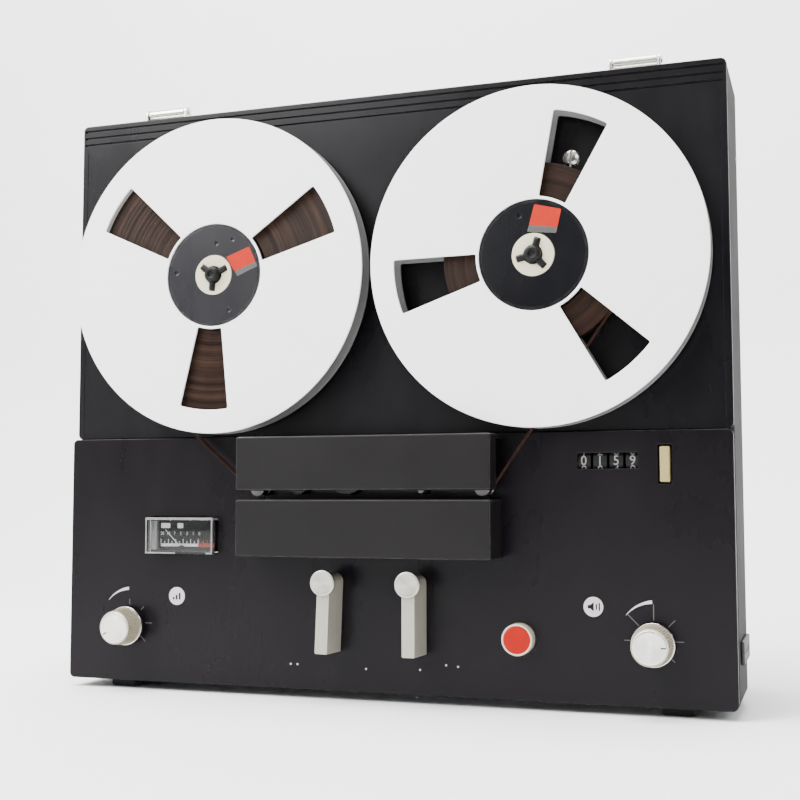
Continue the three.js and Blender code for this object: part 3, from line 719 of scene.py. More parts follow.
def make_turning() -> bpy.types.NodeTree:
    """Draws rings round an axis that runs front to back."""
    group, sheet, source, target = start_group(
        Effect.TURNING, {"Vector": "Vector", "Centre": "Vector", "Rings": "Float"},
        ["Height", "Tone", "Radius", "Angle"])
    offset = sheet.vector_maths("SUBTRACT", source.outputs["Vector"], source.outputs["Centre"]).outputs[0]
    parts = sheet.node("SeparateXYZ", Vector=offset)
    across, upright = parts.outputs["X"], parts.outputs["Z"]
    radius = sheet.maths("POWER", sheet.maths(
        "ADD", sheet.maths("MULTIPLY", across, across), sheet.maths("MULTIPLY", upright, upright)), 0.5)
    angle = sheet.maths("ARCTAN2", upright, across)
    ring_place = sheet.node("CombineXYZ", X=sheet.maths("MULTIPLY", radius, source.outputs["Rings"]),
                            Y=sheet.maths("MULTIPLY", sheet.maths("SINE", angle), 0.35),
                            Z=sheet.maths("MULTIPLY", sheet.maths("COSINE", angle), 0.35)).outputs[0]
    lines = sheet.noise(ring_place, 1.0, 3, 0.6)
    bands = sheet.noise(ring_place, 0.18, 3, 0.5)
    sheet.feed(target.inputs["Height"], lines)
    sheet.feed(target.inputs["Tone"], sheet.maths("MULTIPLY_ADD", bands, 0.6,
                                                  sheet.maths("MULTIPLY", lines, 0.4)))
    sheet.feed(target.inputs["Radius"], radius)
    sheet.feed(target.inputs["Angle"], angle)
    return group


def make_dust() -> bpy.types.NodeTree:
    """Draws dust that has settled on the faces that look up."""
    group, sheet, source, target = start_group(
        Effect.DUST, {"Vector": "Vector", "Amount": "Float"}, ["Mask"])
    upward = sheet.node("SeparateXYZ", Vector=sheet.node("NewGeometry").outputs["Normal"]).outputs["Z"]
    flat = sheet.mapped(upward, 0.45, 0.95)
    specks = sheet.mapped(sheet.noise(source.outputs["Vector"], 900.0, 4, 0.7), 0.3, 0.7, 0.35, 1.0)
    mask = sheet.maths("MULTIPLY", sheet.maths("MULTIPLY", flat, specks), source.outputs["Amount"])
    sheet.feed(target.inputs["Mask"], mask)
    return group


@functools.cache
def effect_group(effect: Effect) -> bpy.types.NodeTree:
    """Gives an effect's node group, made at its first use.

    Args:
        effect: The effect.

    Returns:
        The group.
    """
    makers = {
        Effect.GRAIN: make_grain,
        Effect.SMUDGES: make_smudges,
        Effect.EDGE_WEAR: make_edge_wear,
        Effect.BRUSHING: make_brushing,
        Effect.TURNING: make_turning,
        Effect.DUST: make_dust,
    }
    return makers[effect]()


# ---------------------------------------------------------------- finishes


class Lay(Enum):
    """The direction that brushing runs in."""

    ACROSS = (120.0, 9000.0, 9000.0)
    UPRIGHT = (9000.0, 9000.0, 120.0)
    DEPTH = (9000.0, 120.0, 9000.0)


@dataclass(frozen=True)
class Finish:
    """A finish that pieces can be given. The colour is linear.

    Attributes:
        name: The material's name.
        colour: Base colour.
        roughness: Middle of the roughness, which varies a little about it.
        wear: How strongly the outer edges are worn and lit, from 0 to 1: real wear and a painted highlight.
        worn: Colour of the worn edges, which also carries their painted highlight.
        dust: How much dust lies on the faces that look up, from 0 to 1.
        gloss: Strength of the plain reflections, where 0.5 is usual.
    """

    name: str
    colour: Colour
    roughness: float = 0.5
    wear: float = 0.5
    worn: Colour = (0.3, 0.3, 0.3)
    dust: float = 0.25
    gloss: float = 0.5

    @functools.cache
    def material(self) -> bpy.types.Material:
        """Gives the finish's material, made at its first use."""
        material = bpy.data.materials.new(self.name)
        material.use_nodes = True
        material.diffuse_color = (*self.colour, 1)
        sheet = Sheet(material.node_tree)
        shader = material.node_tree.nodes["Principled BSDF"]
        shader.inputs["Specular IOR Level"].default_value = self.gloss
        self.draw(sheet, shader, sheet.node("TexCoord").outputs["Object"])
        return material

    def draw(self, sheet: Sheet, shader: bpy.types.Node, place: bpy.types.NodeSocket) -> None:
        """Draws the finish's nodes.

        Args:
            sheet: The material's tree.
            shader: Its Principled BSDF.
            place: The coordinates of the surface.
        """
        raise NotImplementedError

    def effect(self, sheet: Sheet, effect: Effect, **inputs: object) -> bpy.types.Node:
        """Places a shared effect in the material."""
        node = sheet.tree.nodes.new("ShaderNodeGroup")
        node.node_tree = effect_group(effect)
        for key, value in inputs.items():
            sheet.feed(node.inputs[key], value)
        return node

    def aged(self, sheet: Sheet, place: bpy.types.NodeSocket, colour: bpy.types.NodeSocket,
             ) -> bpy.types.NodeSocket:
        """Lays worn edges, which also carry a painted highlight, and dust over a colour.

        Args:
            sheet: The material's tree.
            place: The coordinates of the surface.
            colour: The clean colour.

        Returns:
            The aged colour.
        """
        # One mask lays real wear and a painted highlight along the edges.
        wear = self.effect(sheet, Effect.EDGE_WEAR, Vector=place, Scale=260.0, Amount=self.wear)
        dust = self.effect(sheet, Effect.DUST, Vector=place, Amount=self.dust)
        worn_and_lit = sheet.mixed(wear.outputs["Mask"], colour, (*self.worn, 1))
        return sheet.mixed(dust.outputs["Mask"], worn_and_lit, (0.42, 0.41, 0.39, 1))

    def bumped(self, sheet: Sheet, shader: bpy.types.Node, height: bpy.types.NodeSocket,
               strength: float, depth: float) -> None:
        """Feeds a height to the shader's normal.

        Args:
            sheet: The material's tree.
            shader: Its Principled BSDF.
            height: The height, from 0 to 1.
            strength: How strongly it shows.
            depth: Its depth in millimetres.
        """
        bump = sheet.node("Bump", Strength=strength, Distance=depth * MM, Height=height)
        sheet.feed(shader.inputs["Normal"], bump.outputs["Normal"])


@dataclass(frozen=True)
class MouldedPlastic(Finish):
    """Painted or moulded plastic with a fine grain.

    Attributes:
        grain: Number of grains in a metre.
        relief: How strongly the grain shows.
        mottle: How much the colour varies, from 0 to 1.
    """

    grain: float = 2600.0
    relief: float = 0.25
    mottle: float = 0.12

    def draw(self, sheet: Sheet, shader: bpy.types.Node, place: bpy.types.NodeSocket) -> None:
        """Draws grain, smudges, worn edges with a painted highlight, and dust."""
        grain = self.effect(sheet, Effect.GRAIN, Vector=place, Scale=self.grain)
        smudges = self.effect(sheet, Effect.SMUDGES, Vector=place, Scale=14.0)
        dark = tuple(c * (1 - self.mottle) for c in self.colour)
        light = tuple(c * (1 + self.mottle) for c in self.colour)
        blend = sheet.maths("MULTIPLY_ADD", grain.outputs["Patches"], 0.4,
                            sheet.maths("MULTIPLY", smudges.outputs["Value"], 0.6))
        colour = sheet.mixed(blend, (*dark, 1), (*light, 1))
        sheet.feed(shader.inputs["Base Color"], self.aged(sheet, place, colour))
        spread = 0.06
        sheet.feed(shader.inputs["Roughness"], sheet.mapped(
            smudges.outputs["Value"], 0, 1, self.roughness - spread, self.roughness + spread))
        self.bumped(sheet, shader, grain.outputs["Height"], self.relief, 0.05)


@dataclass(frozen=True)
class BrushedMetal(Finish):
    """Metal brushed in one direction.

    Attributes:
        lay: Direction of the brushing.
        metallic: How metallic it is, from 0 to 1.
        relief: How strongly the brushing shows.
        contrast: How much darker its dark lines are, from 0 to 1.
    """

    lay: Lay = Lay.UPRIGHT
    metallic: float = 1.0
    relief: float = 0.25
    contrast: float = 0.2

    def draw(self, sheet: Sheet, shader: bpy.types.Node, place: bpy.types.NodeSocket) -> None:
        """Draws the brushing, with smudges, and worn edges that also carry a painted highlight."""
        shader.inputs["Metallic"].default_value = self.metallic
        brushing = self.effect(sheet, Effect.BRUSHING, Vector=place, Squeeze=self.lay.value)
        smudges = self.effect(sheet, Effect.SMUDGES, Vector=place, Scale=60.0)
        dark = tuple(c * (1 - self.contrast) for c in self.colour)
        tone = sheet.mapped(brushing.outputs["Tone"], 0.35, 0.65)
        colour = sheet.mixed(tone, (*dark, 1), (*self.colour, 1))
        sheet.feed(shader.inputs["Base Color"], self.aged(sheet, place, colour))
        blend = sheet.maths("MULTIPLY_ADD", smudges.outputs["Value"], 0.6,
                            sheet.maths("MULTIPLY", brushing.outputs["Tone"], 0.4))
        sheet.feed(shader.inputs["Roughness"], sheet.mapped(
            blend, 0.2, 0.8, self.roughness - 0.07, self.roughness + 0.09))
        self.bumped(sheet, shader, brushing.outputs["Height"], self.relief, 0.02)


def sheen_round_depth(sheet: Sheet, shader: bpy.types.Node) -> None:
    """Lays a shader's highlights round an axis that runs front to back."""
    tangent = sheet.node("Tangent")
    tangent.direction_type = "RADIAL"
    tangent.axis = "Y"
    sheet.feed(shader.inputs["Tangent"], tangent.outputs["Tangent"])


@dataclass(frozen=True)
class SpunMetal(Finish):
    """Metal finished on a lathe, with rings round an axis that runs front to back.

    Attributes:
        centre: A point on the axis, in millimetres.
        rings: Number of rings in a metre of radius.
        relief: How strongly they show.
        metallic: How metallic it is, from 0 to 1.
        sheen_bow: How far highlights spread into two opposite fans, from 0 to 1.
    """

    centre: tuple[float, float, float] = (0.0, 0.0, 0.0)
    rings: float = 5000.0
    relief: float = 0.2
    metallic: float = 1.0
    sheen_bow: float = 0.7

    def draw(self, sheet: Sheet, shader: bpy.types.Node, place: bpy.types.NodeSocket) -> None:
        """Draws the lathe marks and their fan-shaped sheen."""
        shader.inputs["Metallic"].default_value = self.metallic
        shader.inputs["Anisotropic"].default_value = self.sheen_bow
        sheen_round_depth(sheet, shader)
        turning = self.effect(sheet, Effect.TURNING, Vector=place, Rings=self.rings,
                              Centre=tuple(c * MM for c in self.centre))
        smudges = self.effect(sheet, Effect.SMUDGES, Vector=place, Scale=90.0)
        dark = tuple(c * 0.84 for c in self.colour)
        tone = sheet.mapped(turning.outputs["Tone"], 0.35, 0.65)
        colour = sheet.mixed(tone, (*dark, 1), (*self.colour, 1))
        sheet.feed(shader.inputs["Base Color"], self.aged(sheet, place, colour))
        sheet.feed(shader.inputs["Roughness"], sheet.mapped(
            smudges.outputs["Value"], 0, 1, self.roughness - 0.05, self.roughness + 0.08))
        self.bumped(sheet, shader, turning.outputs["Height"], self.relief, 0.02)


@dataclass(frozen=True)
class WoundTape(Finish):
    """The side of a tape pack: uneven turns that catch the light in fans.

    Attributes:
        centre: The reel's axis, in millimetres.
        light: Colour painted where the turns catch the light in fans: a painted sheen.
        turns: Number of visible bands in a metre of radius.
    """

    centre: tuple[float, float, float] = (0.0, 0.0, 0.0)
    light: Colour = (0.2, 0.1, 0.06)
    turns: float = 1500.0

    def draw(self, sheet: Sheet, shader: bpy.types.Node, place: bpy.types.NodeSocket) -> None:
        """Draws the windings in dark and light bands, with fans of painted sheen across them."""
        shader.inputs["Anisotropic"].default_value = 0.6
        sheen_round_depth(sheet, shader)
        turning = self.effect(sheet, Effect.TURNING, Vector=place, Rings=self.turns,
                              Centre=tuple(c * MM for c in self.centre))
        # Fans where the turns catch the light, laid into the colour: a painted sheen.
        sheen_fans = sheet.noise(sheet.node(
            "CombineXYZ", X=turning.outputs["Angle"],
            Y=sheet.maths("MULTIPLY", turning.outputs["Radius"], 30.0),
        ).outputs[0], 2.4, 3, 0.6)
        bands = sheet.mapped(turning.outputs["Tone"], 0.38, 0.62)
        blend = sheet.mapped(sheet.maths("MULTIPLY", bands, sheen_fans), 0.1, 0.55)
        colour = sheet.mixed(blend, (*self.colour, 1), (*self.light, 1))
        sheet.feed(shader.inputs["Base Color"], colour)
        sheet.feed(shader.inputs["Roughness"], sheet.mapped(
            bands, 0, 1, self.roughness - 0.08, self.roughness + 0.12))
        self.bumped(sheet, shader, turning.outputs["Height"], 0.5, 0.08)


@dataclass(frozen=True)
class ClearPlastic(Finish):
    """Clear moulded plastic with faint scuffs."""

    def draw(self, sheet: Sheet, shader: bpy.types.Node, place: bpy.types.NodeSocket) -> None:
        """Draws the scuffs as roughness, with a plain transmission."""
        shader.inputs["Transmission Weight"].default_value = 1.0
        shader.inputs["IOR"].default_value = 1.35
        smudges = self.effect(sheet, Effect.SMUDGES, Vector=place, Scale=120.0)
        tint = sheet.mixed(smudges.outputs["Value"], (*self.colour, 1), (*self.worn, 1))
        sheet.feed(shader.inputs["Base Color"], tint)
        sheet.feed(shader.inputs["Roughness"], sheet.mapped(
            smudges.outputs["Value"], 0, 1, self.roughness, self.roughness + 0.03))
        grain = self.effect(sheet, Effect.GRAIN, Vector=place, Scale=500.0)
        self.bumped(sheet, shader, grain.outputs["Height"], 0.04, 0.02)


@dataclass(frozen=True)
class Lacquer(Finish):
    """Printed ink, enamel or glossy moulded colour.

    Attributes:
        patchy: How unevenly the colour lies, from 0 to 1.
    """

    patchy: float = 0.1

    def draw(self, sheet: Sheet, shader: bpy.types.Node, place: bpy.types.NodeSocket) -> None:
        """Draws slightly uneven colour with a faint ripple."""
        grain = self.effect(sheet, Effect.GRAIN, Vector=place, Scale=1400.0)
        smudges = self.effect(sheet, Effect.SMUDGES, Vector=place, Scale=150.0)
        thin = tuple(c * (1 - self.patchy) for c in self.colour)
        colour = sheet.mixed(smudges.outputs["Value"], (*thin, 1), (*self.colour, 1))
        sheet.feed(shader.inputs["Base Color"], self.aged(sheet, place, colour))
        sheet.feed(shader.inputs["Roughness"], sheet.mapped(
            grain.outputs["Patches"], 0, 1, self.roughness - 0.04, self.roughness + 0.05))
        self.bumped(sheet, shader, grain.outputs["Height"], 0.06, 0.03)


# ---------------------------------------------------------------- the deck's finishes

BLACK_FRONT = MouldedPlastic("black_front", (0.0045, 0.0034, 0.0046), 0.3, wear=0.4,
                             worn=(0.035, 0.033, 0.035), dust=0.04, gloss=0.13, grain=2200, relief=0.12,
                             mottle=0.12)
BLACK_DECK = MouldedPlastic("black_deck", (0.0038, 0.0032, 0.0042), 0.3, wear=0.4,
                            worn=(0.035, 0.033, 0.035), dust=0.04, gloss=0.2, grain=2200, relief=0.12,
                            mottle=0.12)
# Its pale worn edges, laid on strongly, stand mostly for the light that the chamfered edges catch: a painted
# highlight.
COVER_BLACK = MouldedPlastic("cover_black", (0.0062, 0.0055, 0.0055), 0.45, wear=0.9,
                             worn=(0.085, 0.08, 0.08), dust=0.06, gloss=0.14, grain=2600, relief=0.2,
                             mottle=0.05)
GREY_SHELL = MouldedPlastic("shell_paint", (0.033, 0.0327, 0.032), 0.7, wear=0.6, worn=(0.25, 0.24, 0.23),
                            dust=0.1, gloss=0.06, grain=1600, relief=0.4)
DARK_TRIM = MouldedPlastic("dark_trim", (0.0035, 0.0035, 0.0038), 0.45, wear=0.2, worn=(0.03, 0.03, 0.03),
                           dust=0.02, gloss=0.18, grain=3000)
SOFT_RUBBER = MouldedPlastic("soft_rubber", (0.012, 0.012, 0.013), 0.8, wear=0.3, worn=(0.05, 0.05, 0.05),
                             gloss=0.3, grain=1300, relief=0.6)
LATCH_GREY = MouldedPlastic("latch_grey", (0.035, 0.034, 0.034), 0.6, wear=0.5, worn=(0.15, 0.15, 0.15),
                            grain=1800)
HUB_SLATE = MouldedPlastic("hub_slate", (0.0072, 0.0069, 0.0088), 0.28, wear=0.5, worn=(0.08, 0.08, 0.085),
                           dust=0.0, gloss=0.38, grain=3200, relief=0.05, mottle=0.08)
HUB_BLACK = MouldedPlastic("hub_black", (0.0028, 0.0028, 0.0038), 0.28, wear=0.5, worn=(0.06, 0.06, 0.065),
                           dust=0.0, gloss=0.26, grain=3200, relief=0.05, mottle=0.08)
BOARD = MouldedPlastic("phenolic_board", (0.15, 0.075, 0.025), 0.55, worn=(0.3, 0.2, 0.1), grain=900)
# Opaque pale grey: painted highlights where light gathers in the meter glass's edges, and the meter's pale
# post.
CLEAR_EDGE = MouldedPlastic("clear_edge", (0.15, 0.148, 0.145), 0.35, wear=0.5, worn=(0.6, 0.6, 0.6),
                            dust=0.0, grain=900, relief=0.05)
FLANGE_SILVER = BrushedMetal("flange_silver", (0.9, 0.9, 0.885), 0.5, wear=0.3, worn=(0.7, 0.7, 0.68),
                             dust=0.0, gloss=0.3, lay=Lay.ACROSS, metallic=0.12, relief=0.01, contrast=0.02)
# The front flange's silver darkened for the rear flange, which lies in the front flange's shade: painted
# shade.
FLANGE_SILVER_SHADED = BrushedMetal("flange_silver_painted_shade", (0.13, 0.13, 0.128), 0.5, wear=0.3, worn=(0.3, 0.3, 0.3), dust=0.0,
                           gloss=0.2, lay=Lay.ACROSS, metallic=0.12, relief=0.01, contrast=0.02)
PLATED_STEEL = BrushedMetal("plated_steel", (0.5, 0.5, 0.51), 0.38, worn=(0.7, 0.7, 0.7), lay=Lay.ACROSS)
SHADED_STEEL = BrushedMetal("shaded_steel", (0.05, 0.05, 0.052), 0.5, wear=0.2, worn=(0.12, 0.12, 0.12),
                            dust=0.05, lay=Lay.ACROSS, metallic=0.6)
# Steel darkened for the guides and the capstan, which sit in the head covers' shade: painted shade.
GUIDE_STEEL_SHADED = BrushedMetal("guide_steel_painted_shade", (0.16, 0.155, 0.15), 0.35, wear=0.3, worn=(0.4, 0.4, 0.4),
                           dust=0.0, lay=Lay.DEPTH, metallic=0.8)
BRIGHT_NICKEL = BrushedMetal("bright_nickel", (0.72, 0.7, 0.64), 0.24, worn=(0.85, 0.84, 0.8), dust=0.1,
                             lay=Lay.ACROSS, relief=0.15)
CHAMPAGNE = BrushedMetal("champagne_brushed", (0.38, 0.36, 0.3), 0.42, worn=(0.85, 0.83, 0.76), dust=0.05,
                         lay=Lay.UPRIGHT, metallic=0.35, relief=0.2)
BRASS = BrushedMetal("turned_brass", (0.55, 0.4, 0.14), 0.34, worn=(0.75, 0.62, 0.3), lay=Lay.DEPTH)
CREAM = Lacquer("cream_moulding", (0.31, 0.25, 0.1), 0.38, wear=0.2, worn=(0.6, 0.56, 0.42), dust=0.0,
                gloss=0.3)
IVORY = Lacquer("ivory_moulding", (0.6, 0.56, 0.4), 0.45, wear=0.1, worn=(0.8, 0.78, 0.68), dust=0.0,
                gloss=0.3)
RED = Lacquer("red_enamel", (0.33, 0.004, 0.0008), 0.45, wear=0.2, worn=(0.5, 0.06, 0.03), dust=0.0,
              gloss=0.15)
LABEL_RED = Lacquer("label_orange_red", (0.36, 0.014, 0.004), 0.6, wear=0.1, worn=(0.6, 0.15, 0.08),
                    dust=0.0, gloss=0.15)
LABEL_GREY = Lacquer("label_grey", (0.06, 0.06, 0.055), 0.5, wear=0.1, worn=(0.5, 0.5, 0.5), dust=0.0,
                     gloss=0.3)
WHITE_INK = Lacquer("white_ink", (0.5, 0.5, 0.49), 0.5, wear=0.1, worn=(0.8, 0.8, 0.8), dust=0.0, patchy=0.2)
GREY_INK = Lacquer("grey_ink", (0.2, 0.2, 0.19), 0.5, wear=0.1, worn=(0.3, 0.3, 0.3), dust=0.0, patchy=0.2)
DIM_INK = Lacquer("dim_ink", (0.09, 0.078, 0.07), 0.5, wear=0.1, worn=(0.2, 0.18, 0.17), dust=0.0,
                  patchy=0.3)
RED_INK = Lacquer("red_ink", (0.2, 0.02, 0.006), 0.5, wear=0.1, worn=(0.5, 0.1, 0.08), dust=0.0, gloss=0.3)
TAPE_BACK = MouldedPlastic("tape_back", (0.03, 0.011, 0.006), 0.35, wear=0.1, worn=(0.25, 0.15, 0.1),
                           dust=0.0, gloss=0.35, grain=500, relief=0.05)
CLEAR = ClearPlastic("clear_window", (1.0, 1.0, 1.0), 0.01, worn=(0.97, 0.98, 0.98), gloss=0.25)


def settle(piece: bpy.types.Object, body: str, finish: Finish, slot: str,
           *replaced: str) -> bpy.types.Object:
    """Gives a piece its finish and its place in the moving deck, and reports it.

    Args:
        piece: The piece, where it stands at rest.
        body: Body that it moves with.
        finish: Its finish.
        slot: The record's material slot. Not used.
        replaced: Frame nodes that it stands for.

    Returns:
        The piece.
    """
    piece.data.materials.clear()
    piece.data.materials.append(finish.material())
    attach(piece, body)
    if replaced:
        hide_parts(*replaced)
    LOG.info("%s rides on %s in %s", piece.name, body, finish.name)
    return piece


# ---------------------------------------------------------------- cabinet


@dataclass
class Cabinet:
    """The grey frame, the two black fronts, the feet, the lid fittings and the rear tub."""

    frame_wall: float = 3.5
    corner: float = 3.0
    groove_tops: tuple[float, ...] = (2.7, 6.9, 11.0)
    groove_height: float = 1.4
    groove_depth: float = 1.1
    border_inset: float = 3.6
    head_window: tuple[float, float, float, float] = (-64.4, 64.4, 81.6, 138.4)
    meter_gap: float = 0.3
    counter_window: tuple[float, float] = (15.35, 4.0)
    key_gap: float = 0.9
    shaft_hole: float = 3.5
    button_hole: float = 8.6
    spindle_hole: float = 5.0
    tub_gap: float = 0.3
    tub_corner: float = 8.0
    vent_count: int = 8
    vent_pitch: float = 13.0
    vent_heights: Point = (190, 270)
    rear_reach: float = 150.0
    rear_foot_heights: Point = (85, 295)
    rear_screw_heights: Point = (25, 310)
    screw_spots: tuple[Point, ...] = ((-108.6, 286.5), (108.6, 286.5), (-108.6, 180.7), (108.6, 180.7))
    screw_radius: float = 4.7

    def build(self) -> None:
        """Makes every piece of the cabinet."""
        self.build_frame()
        self.build_panel()
        self.build_deck()
        self.build_screws()
        for side, sign in SIDES.items():
            self.build_foot(side)
            self.build_hinge(side)
            self.build_latch(side, sign)
        self.build_rear()

    def build_frame(self) -> None:
        """Makes the grey ring of walls, with a fine bead along its front edge and its rear lip."""
        low, high = box_mm("cabinet_frame")
        outer = rectangle(low.x, high.x, low.z, high.z, self.corner, 8)
        wall = self.frame_wall
        inner = rectangle(low.x + wall, high.x - wall, low.z + wall, high.z - wall, 0.8)
        ring = plate(outer, low.y, high.y, 0.7, [inner])
        tub_low, tub_high = box_mm("rear_housing")
        gap = self.tub_gap
        opening = rectangle(tub_low.x - gap, tub_high.x + gap, tub_low.z - gap, tub_high.z + gap,
                            self.tub_corner + gap, 8)
        lip_rim = rectangle(low.x + wall - 0.4, high.x - wall + 0.4, low.z + wall - 0.4, high.z - wall + 0.4)
        ring.add(plate(lip_rim, high.y - wall, high.y - 0.4, 0.2, [opening]))
        settle(ring.piece("frame_shell"), "cabinet", GREY_SHELL, "grey_shell", "cabinet_frame")
        bead = plate(rectangle(low.x - 0.12, high.x + 0.12, low.z - 0.1, high.z + 0.1, self.corner, 8),
                     low.y + 0.2, low.y + 1.3, 0.3,
                     [rectangle(low.x + 0.9, high.x - 0.9, low.z + 0.9, high.z - 0.9, 2.2, 8)])
        settle(bead.piece("frame_bead"), "cabinet", GREY_SHELL, "grey_shell")
        screws = Form()
        for x in (low.x, high.x):
            for z in (low.z + 29, high.z - 40):
                head = turned([(0, -0.25), (1.7, -0.25), (2.2, 0.1), (2.2, 0.35), (0, 0.35)], (x, 9.5, z),
                              32, Axis.ACROSS)
                slot = block((x - 1, 9.2, z - 2.4), (x + 1, 9.8, z + 2.4), 0)
                screws.add(head.carved(slot))
        settle(screws.piece("frame_screws"), "cabinet", PLATED_STEEL, "steel")

    def build_panel(self) -> None:
        """Makes the lower front with its rim and its cut-outs."""
        low, high = box_mm("control_panel")
        outer = rectangle(low.x, high.x, low.z, high.z, self.corner, 8)
        x0, x1, z0, z1 = self.head_window
        holes = [rectangle(x0, x1, z0, z1, 1.5)]
        meter_low, meter_high = box_mm("meter_window")
        gap = self.meter_gap
        holes.append(rectangle(meter_low.x - gap, meter_high.x + gap, meter_low.z - gap, meter_high.z + gap,
                               0.8))
        middle = centre_mm("counter_frame")
        wide, tall = self.counter_window
        holes.append(rectangle(middle.x - wide, middle.x + wide, middle.z - tall, middle.z + tall, 0.5))
        key = centre_mm("counter_reset_key")
        key_half = (box_mm("counter_reset_key")[1] - box_mm("counter_reset_key")[0]) / 2
        wide, tall = key_half.x - 2 + self.key_gap, key_half.z - 2 + self.key_gap
        holes.append(rectangle(key.x - wide, key.x + wide, key.z - tall, key.z + tall, 0.5))
        for joint in ("left_knob_turn", "right_knob_turn", "left_lever_turn", "right_lever_turn"):
            place = joint_place_mm(joint)
            holes.append(circle(place.x, place.z, self.shaft_hole, 28))
        button = centre_mm("record_button")
        holes.append(circle(button.x, button.z, self.button_hole, 56))
        face = plate(outer, low.y, low.y + 2.3, 0.55, holes, 4)
        rim = plate(rectangle(low.x + 0.25, high.x - 0.25, low.z + 0.25, high.z - 0.25, self.corner, 8),
                    low.y + 1.9, high.y, 0.3, [rectangle(low.x + 4, high.x - 4, low.z + 4, high.z - 4, 1)])
        settle(face.add(rim).piece("panel_front"), "cabinet", BLACK_FRONT, "black_plastic", "control_panel")

    def build_deck(self) -> None:
        """Makes the upper front with the grooves under its top edge and the fine line down each side."""
        low, high = box_mm("deck_plate")
        spindles = [joint_axis_mm(f"{side}_reel_spin") for side in SIDES]
        spindle_holes = [circle(place.x, place.z, self.spindle_hole) for place in spindles]
        deck = plate(rectangle(low.x, high.x, low.z, high.z, self.corner, 8), low.y, high.y, 0.5,
                     spindle_holes, 4)
        cutters = []
        for depth in self.groove_tops:
            top = high.z - depth
            cutters.append(block((low.x + 1.2, low.y - 1, top - self.groove_height),
                                 (high.x - 1.2, low.y + self.groove_depth, top), 0.25, 2))
        for x in (low.x + self.border_inset, high.x - self.border_inset):
            cutters.append(block((x - 0.2, low.y - 1, low.z - 1),
                                 (x + 0.2, low.y + 0.3, high.z - self.groove_tops[-1] - 3), 0))
        deck.carved(*cutters)
        settle(deck.piece("deck_front"), "cabinet", BLACK_DECK, "black_plastic", "deck_plate")

    def build_screws(self) -> None:
        """Makes the slotted screws that hold the upper front."""
        face = box_mm("deck_plate")[0].y
        radius = self.screw_radius
        screws = Form()
        for k, (x, z) in enumerate(self.screw_spots):
            dome = [(0, face - 1.9), (radius * 0.45, face - 1.75), (radius * 0.85, face - 1.1),
                    (radius, face - 0.3), (radius, face + 0.2), (0, face + 0.2)]
            head = turned(rounded(dome, 0.5, 4, closed=False), (x, 0, z), 56)
            slot = block((x - radius - 1, face - 3, z - 0.6), (x + radius + 1, face - 0.7, z + 0.6), 0)
            screws.add(head.carved(slot.turned_by(35 + 50 * k, Vector((x, 0, z)))))
        settle(screws.piece("deck_screws"), "cabinet", BRIGHT_NICKEL, "bright_metal")

    def build_foot(self, side: str) -> None:
        """Makes a ribbed rubber foot."""
        low, high = box_mm(f"{side}_foot")
        foot = block((low.x, low.y, low.z), (high.x, high.y, high.z), 1.2, 3)
        rib_count = 9
        ribs = []
        for k in range(rib_count):
            y = low.y + 5 + (high.y - low.y - 10) * k / (rib_count - 1)
            ribs.append(block((low.x - 1, y - 0.6, -1), (high.x + 1, y + 0.6, 0.6), 0))
        foot.carved(*ribs)
        settle(foot.piece(f"foot_{side}"), "cabinet", SOFT_RUBBER, "rubber", f"{side}_foot")

    def build_hinge(self, side: str) -> None:
        """Makes a lid hinge: a base with two ears, and a rolled barrel with its pin between them."""
        low, high = box_mm(f"{side}_hinge")
        pin_z = high.z - 3.4
        middle_y = (low.y + high.y) / 2
        base = block((low.x, low.y, low.z), (high.x, high.y, low.z + 1.3), 0.4)
        ear_outline = rounded([(-3.4, low.z + 0.6), (3.4, low.z + 0.6), (3.4, pin_z)], 0.2, 1, closed=False)
        ear_outline += arc(0, pin_z, 3.4, 0, 180, 20)
        for x in (low.x, high.x - 1.6):
            ear = plate(ear_outline, 0, 1.6, 0.3)
            ear.bent(lambda v, x=x: Vector((x + v.y, middle_y + v.x, v.z)))
            base.add(ear)
        settle(base.piece(f"hinge_{side}"), "cabinet", BRIGHT_NICKEL, "bright_metal", f"{side}_hinge")
        barrel_half = (high.x - low.x) / 2 - 2.0
        middle_x = (low.x + high.x) / 2
        profile = rounded([(0, -barrel_half), (3.0, -barrel_half), (3.0, barrel_half), (0, barrel_half)],
                          0.5, 3, closed=False)
        barrel = turned(profile, (middle_x, middle_y, pin_z), 48, Axis.ACROSS)
        seam = block((middle_x - barrel_half - 1, middle_y + 1.0, pin_z - 4),
                     (middle_x + barrel_half + 1, middle_y + 1.5, pin_z - 2.1), 0)
        barrel.carved(seam)
        pin = turned(rounded([(0, -barrel_half - 2.6), (1.3, -barrel_half - 2.6), (1.3, barrel_half + 2.6),
                              (0, barrel_half + 2.6)], 0.4, 3, closed=False),
                     (middle_x, middle_y, pin_z), 32, Axis.ACROSS)
        settle(barrel.add(pin).piece(f"hinge_barrel_{side}"), "cabinet", BRIGHT_NICKEL, "bright_metal")

    def build_latch(self, side: str, sign: int) -> None:
        """Makes a side latch with its finger ridge.

        Args:
            side: The deck's side.
            sign: 1 for the right and -1 for the left.
        """
        low, high = box_mm(f"{side}_lid_latch")
        latch = block(low, high, 0.6, 3)
        outer = high.x if sign > 0 else low.x
        groove = block((outer - 0.5, low.y + 4, (low.z + high.z) / 2 - 0.7),
                       (outer + 0.5, high.y - 4, (low.z + high.z) / 2 + 0.7), 0.2, 2)
        latch.carved(groove)
        settle(latch.piece(f"latch_{side}"), "cabinet", LATCH_GREY, "rubber", f"{side}_lid_latch")

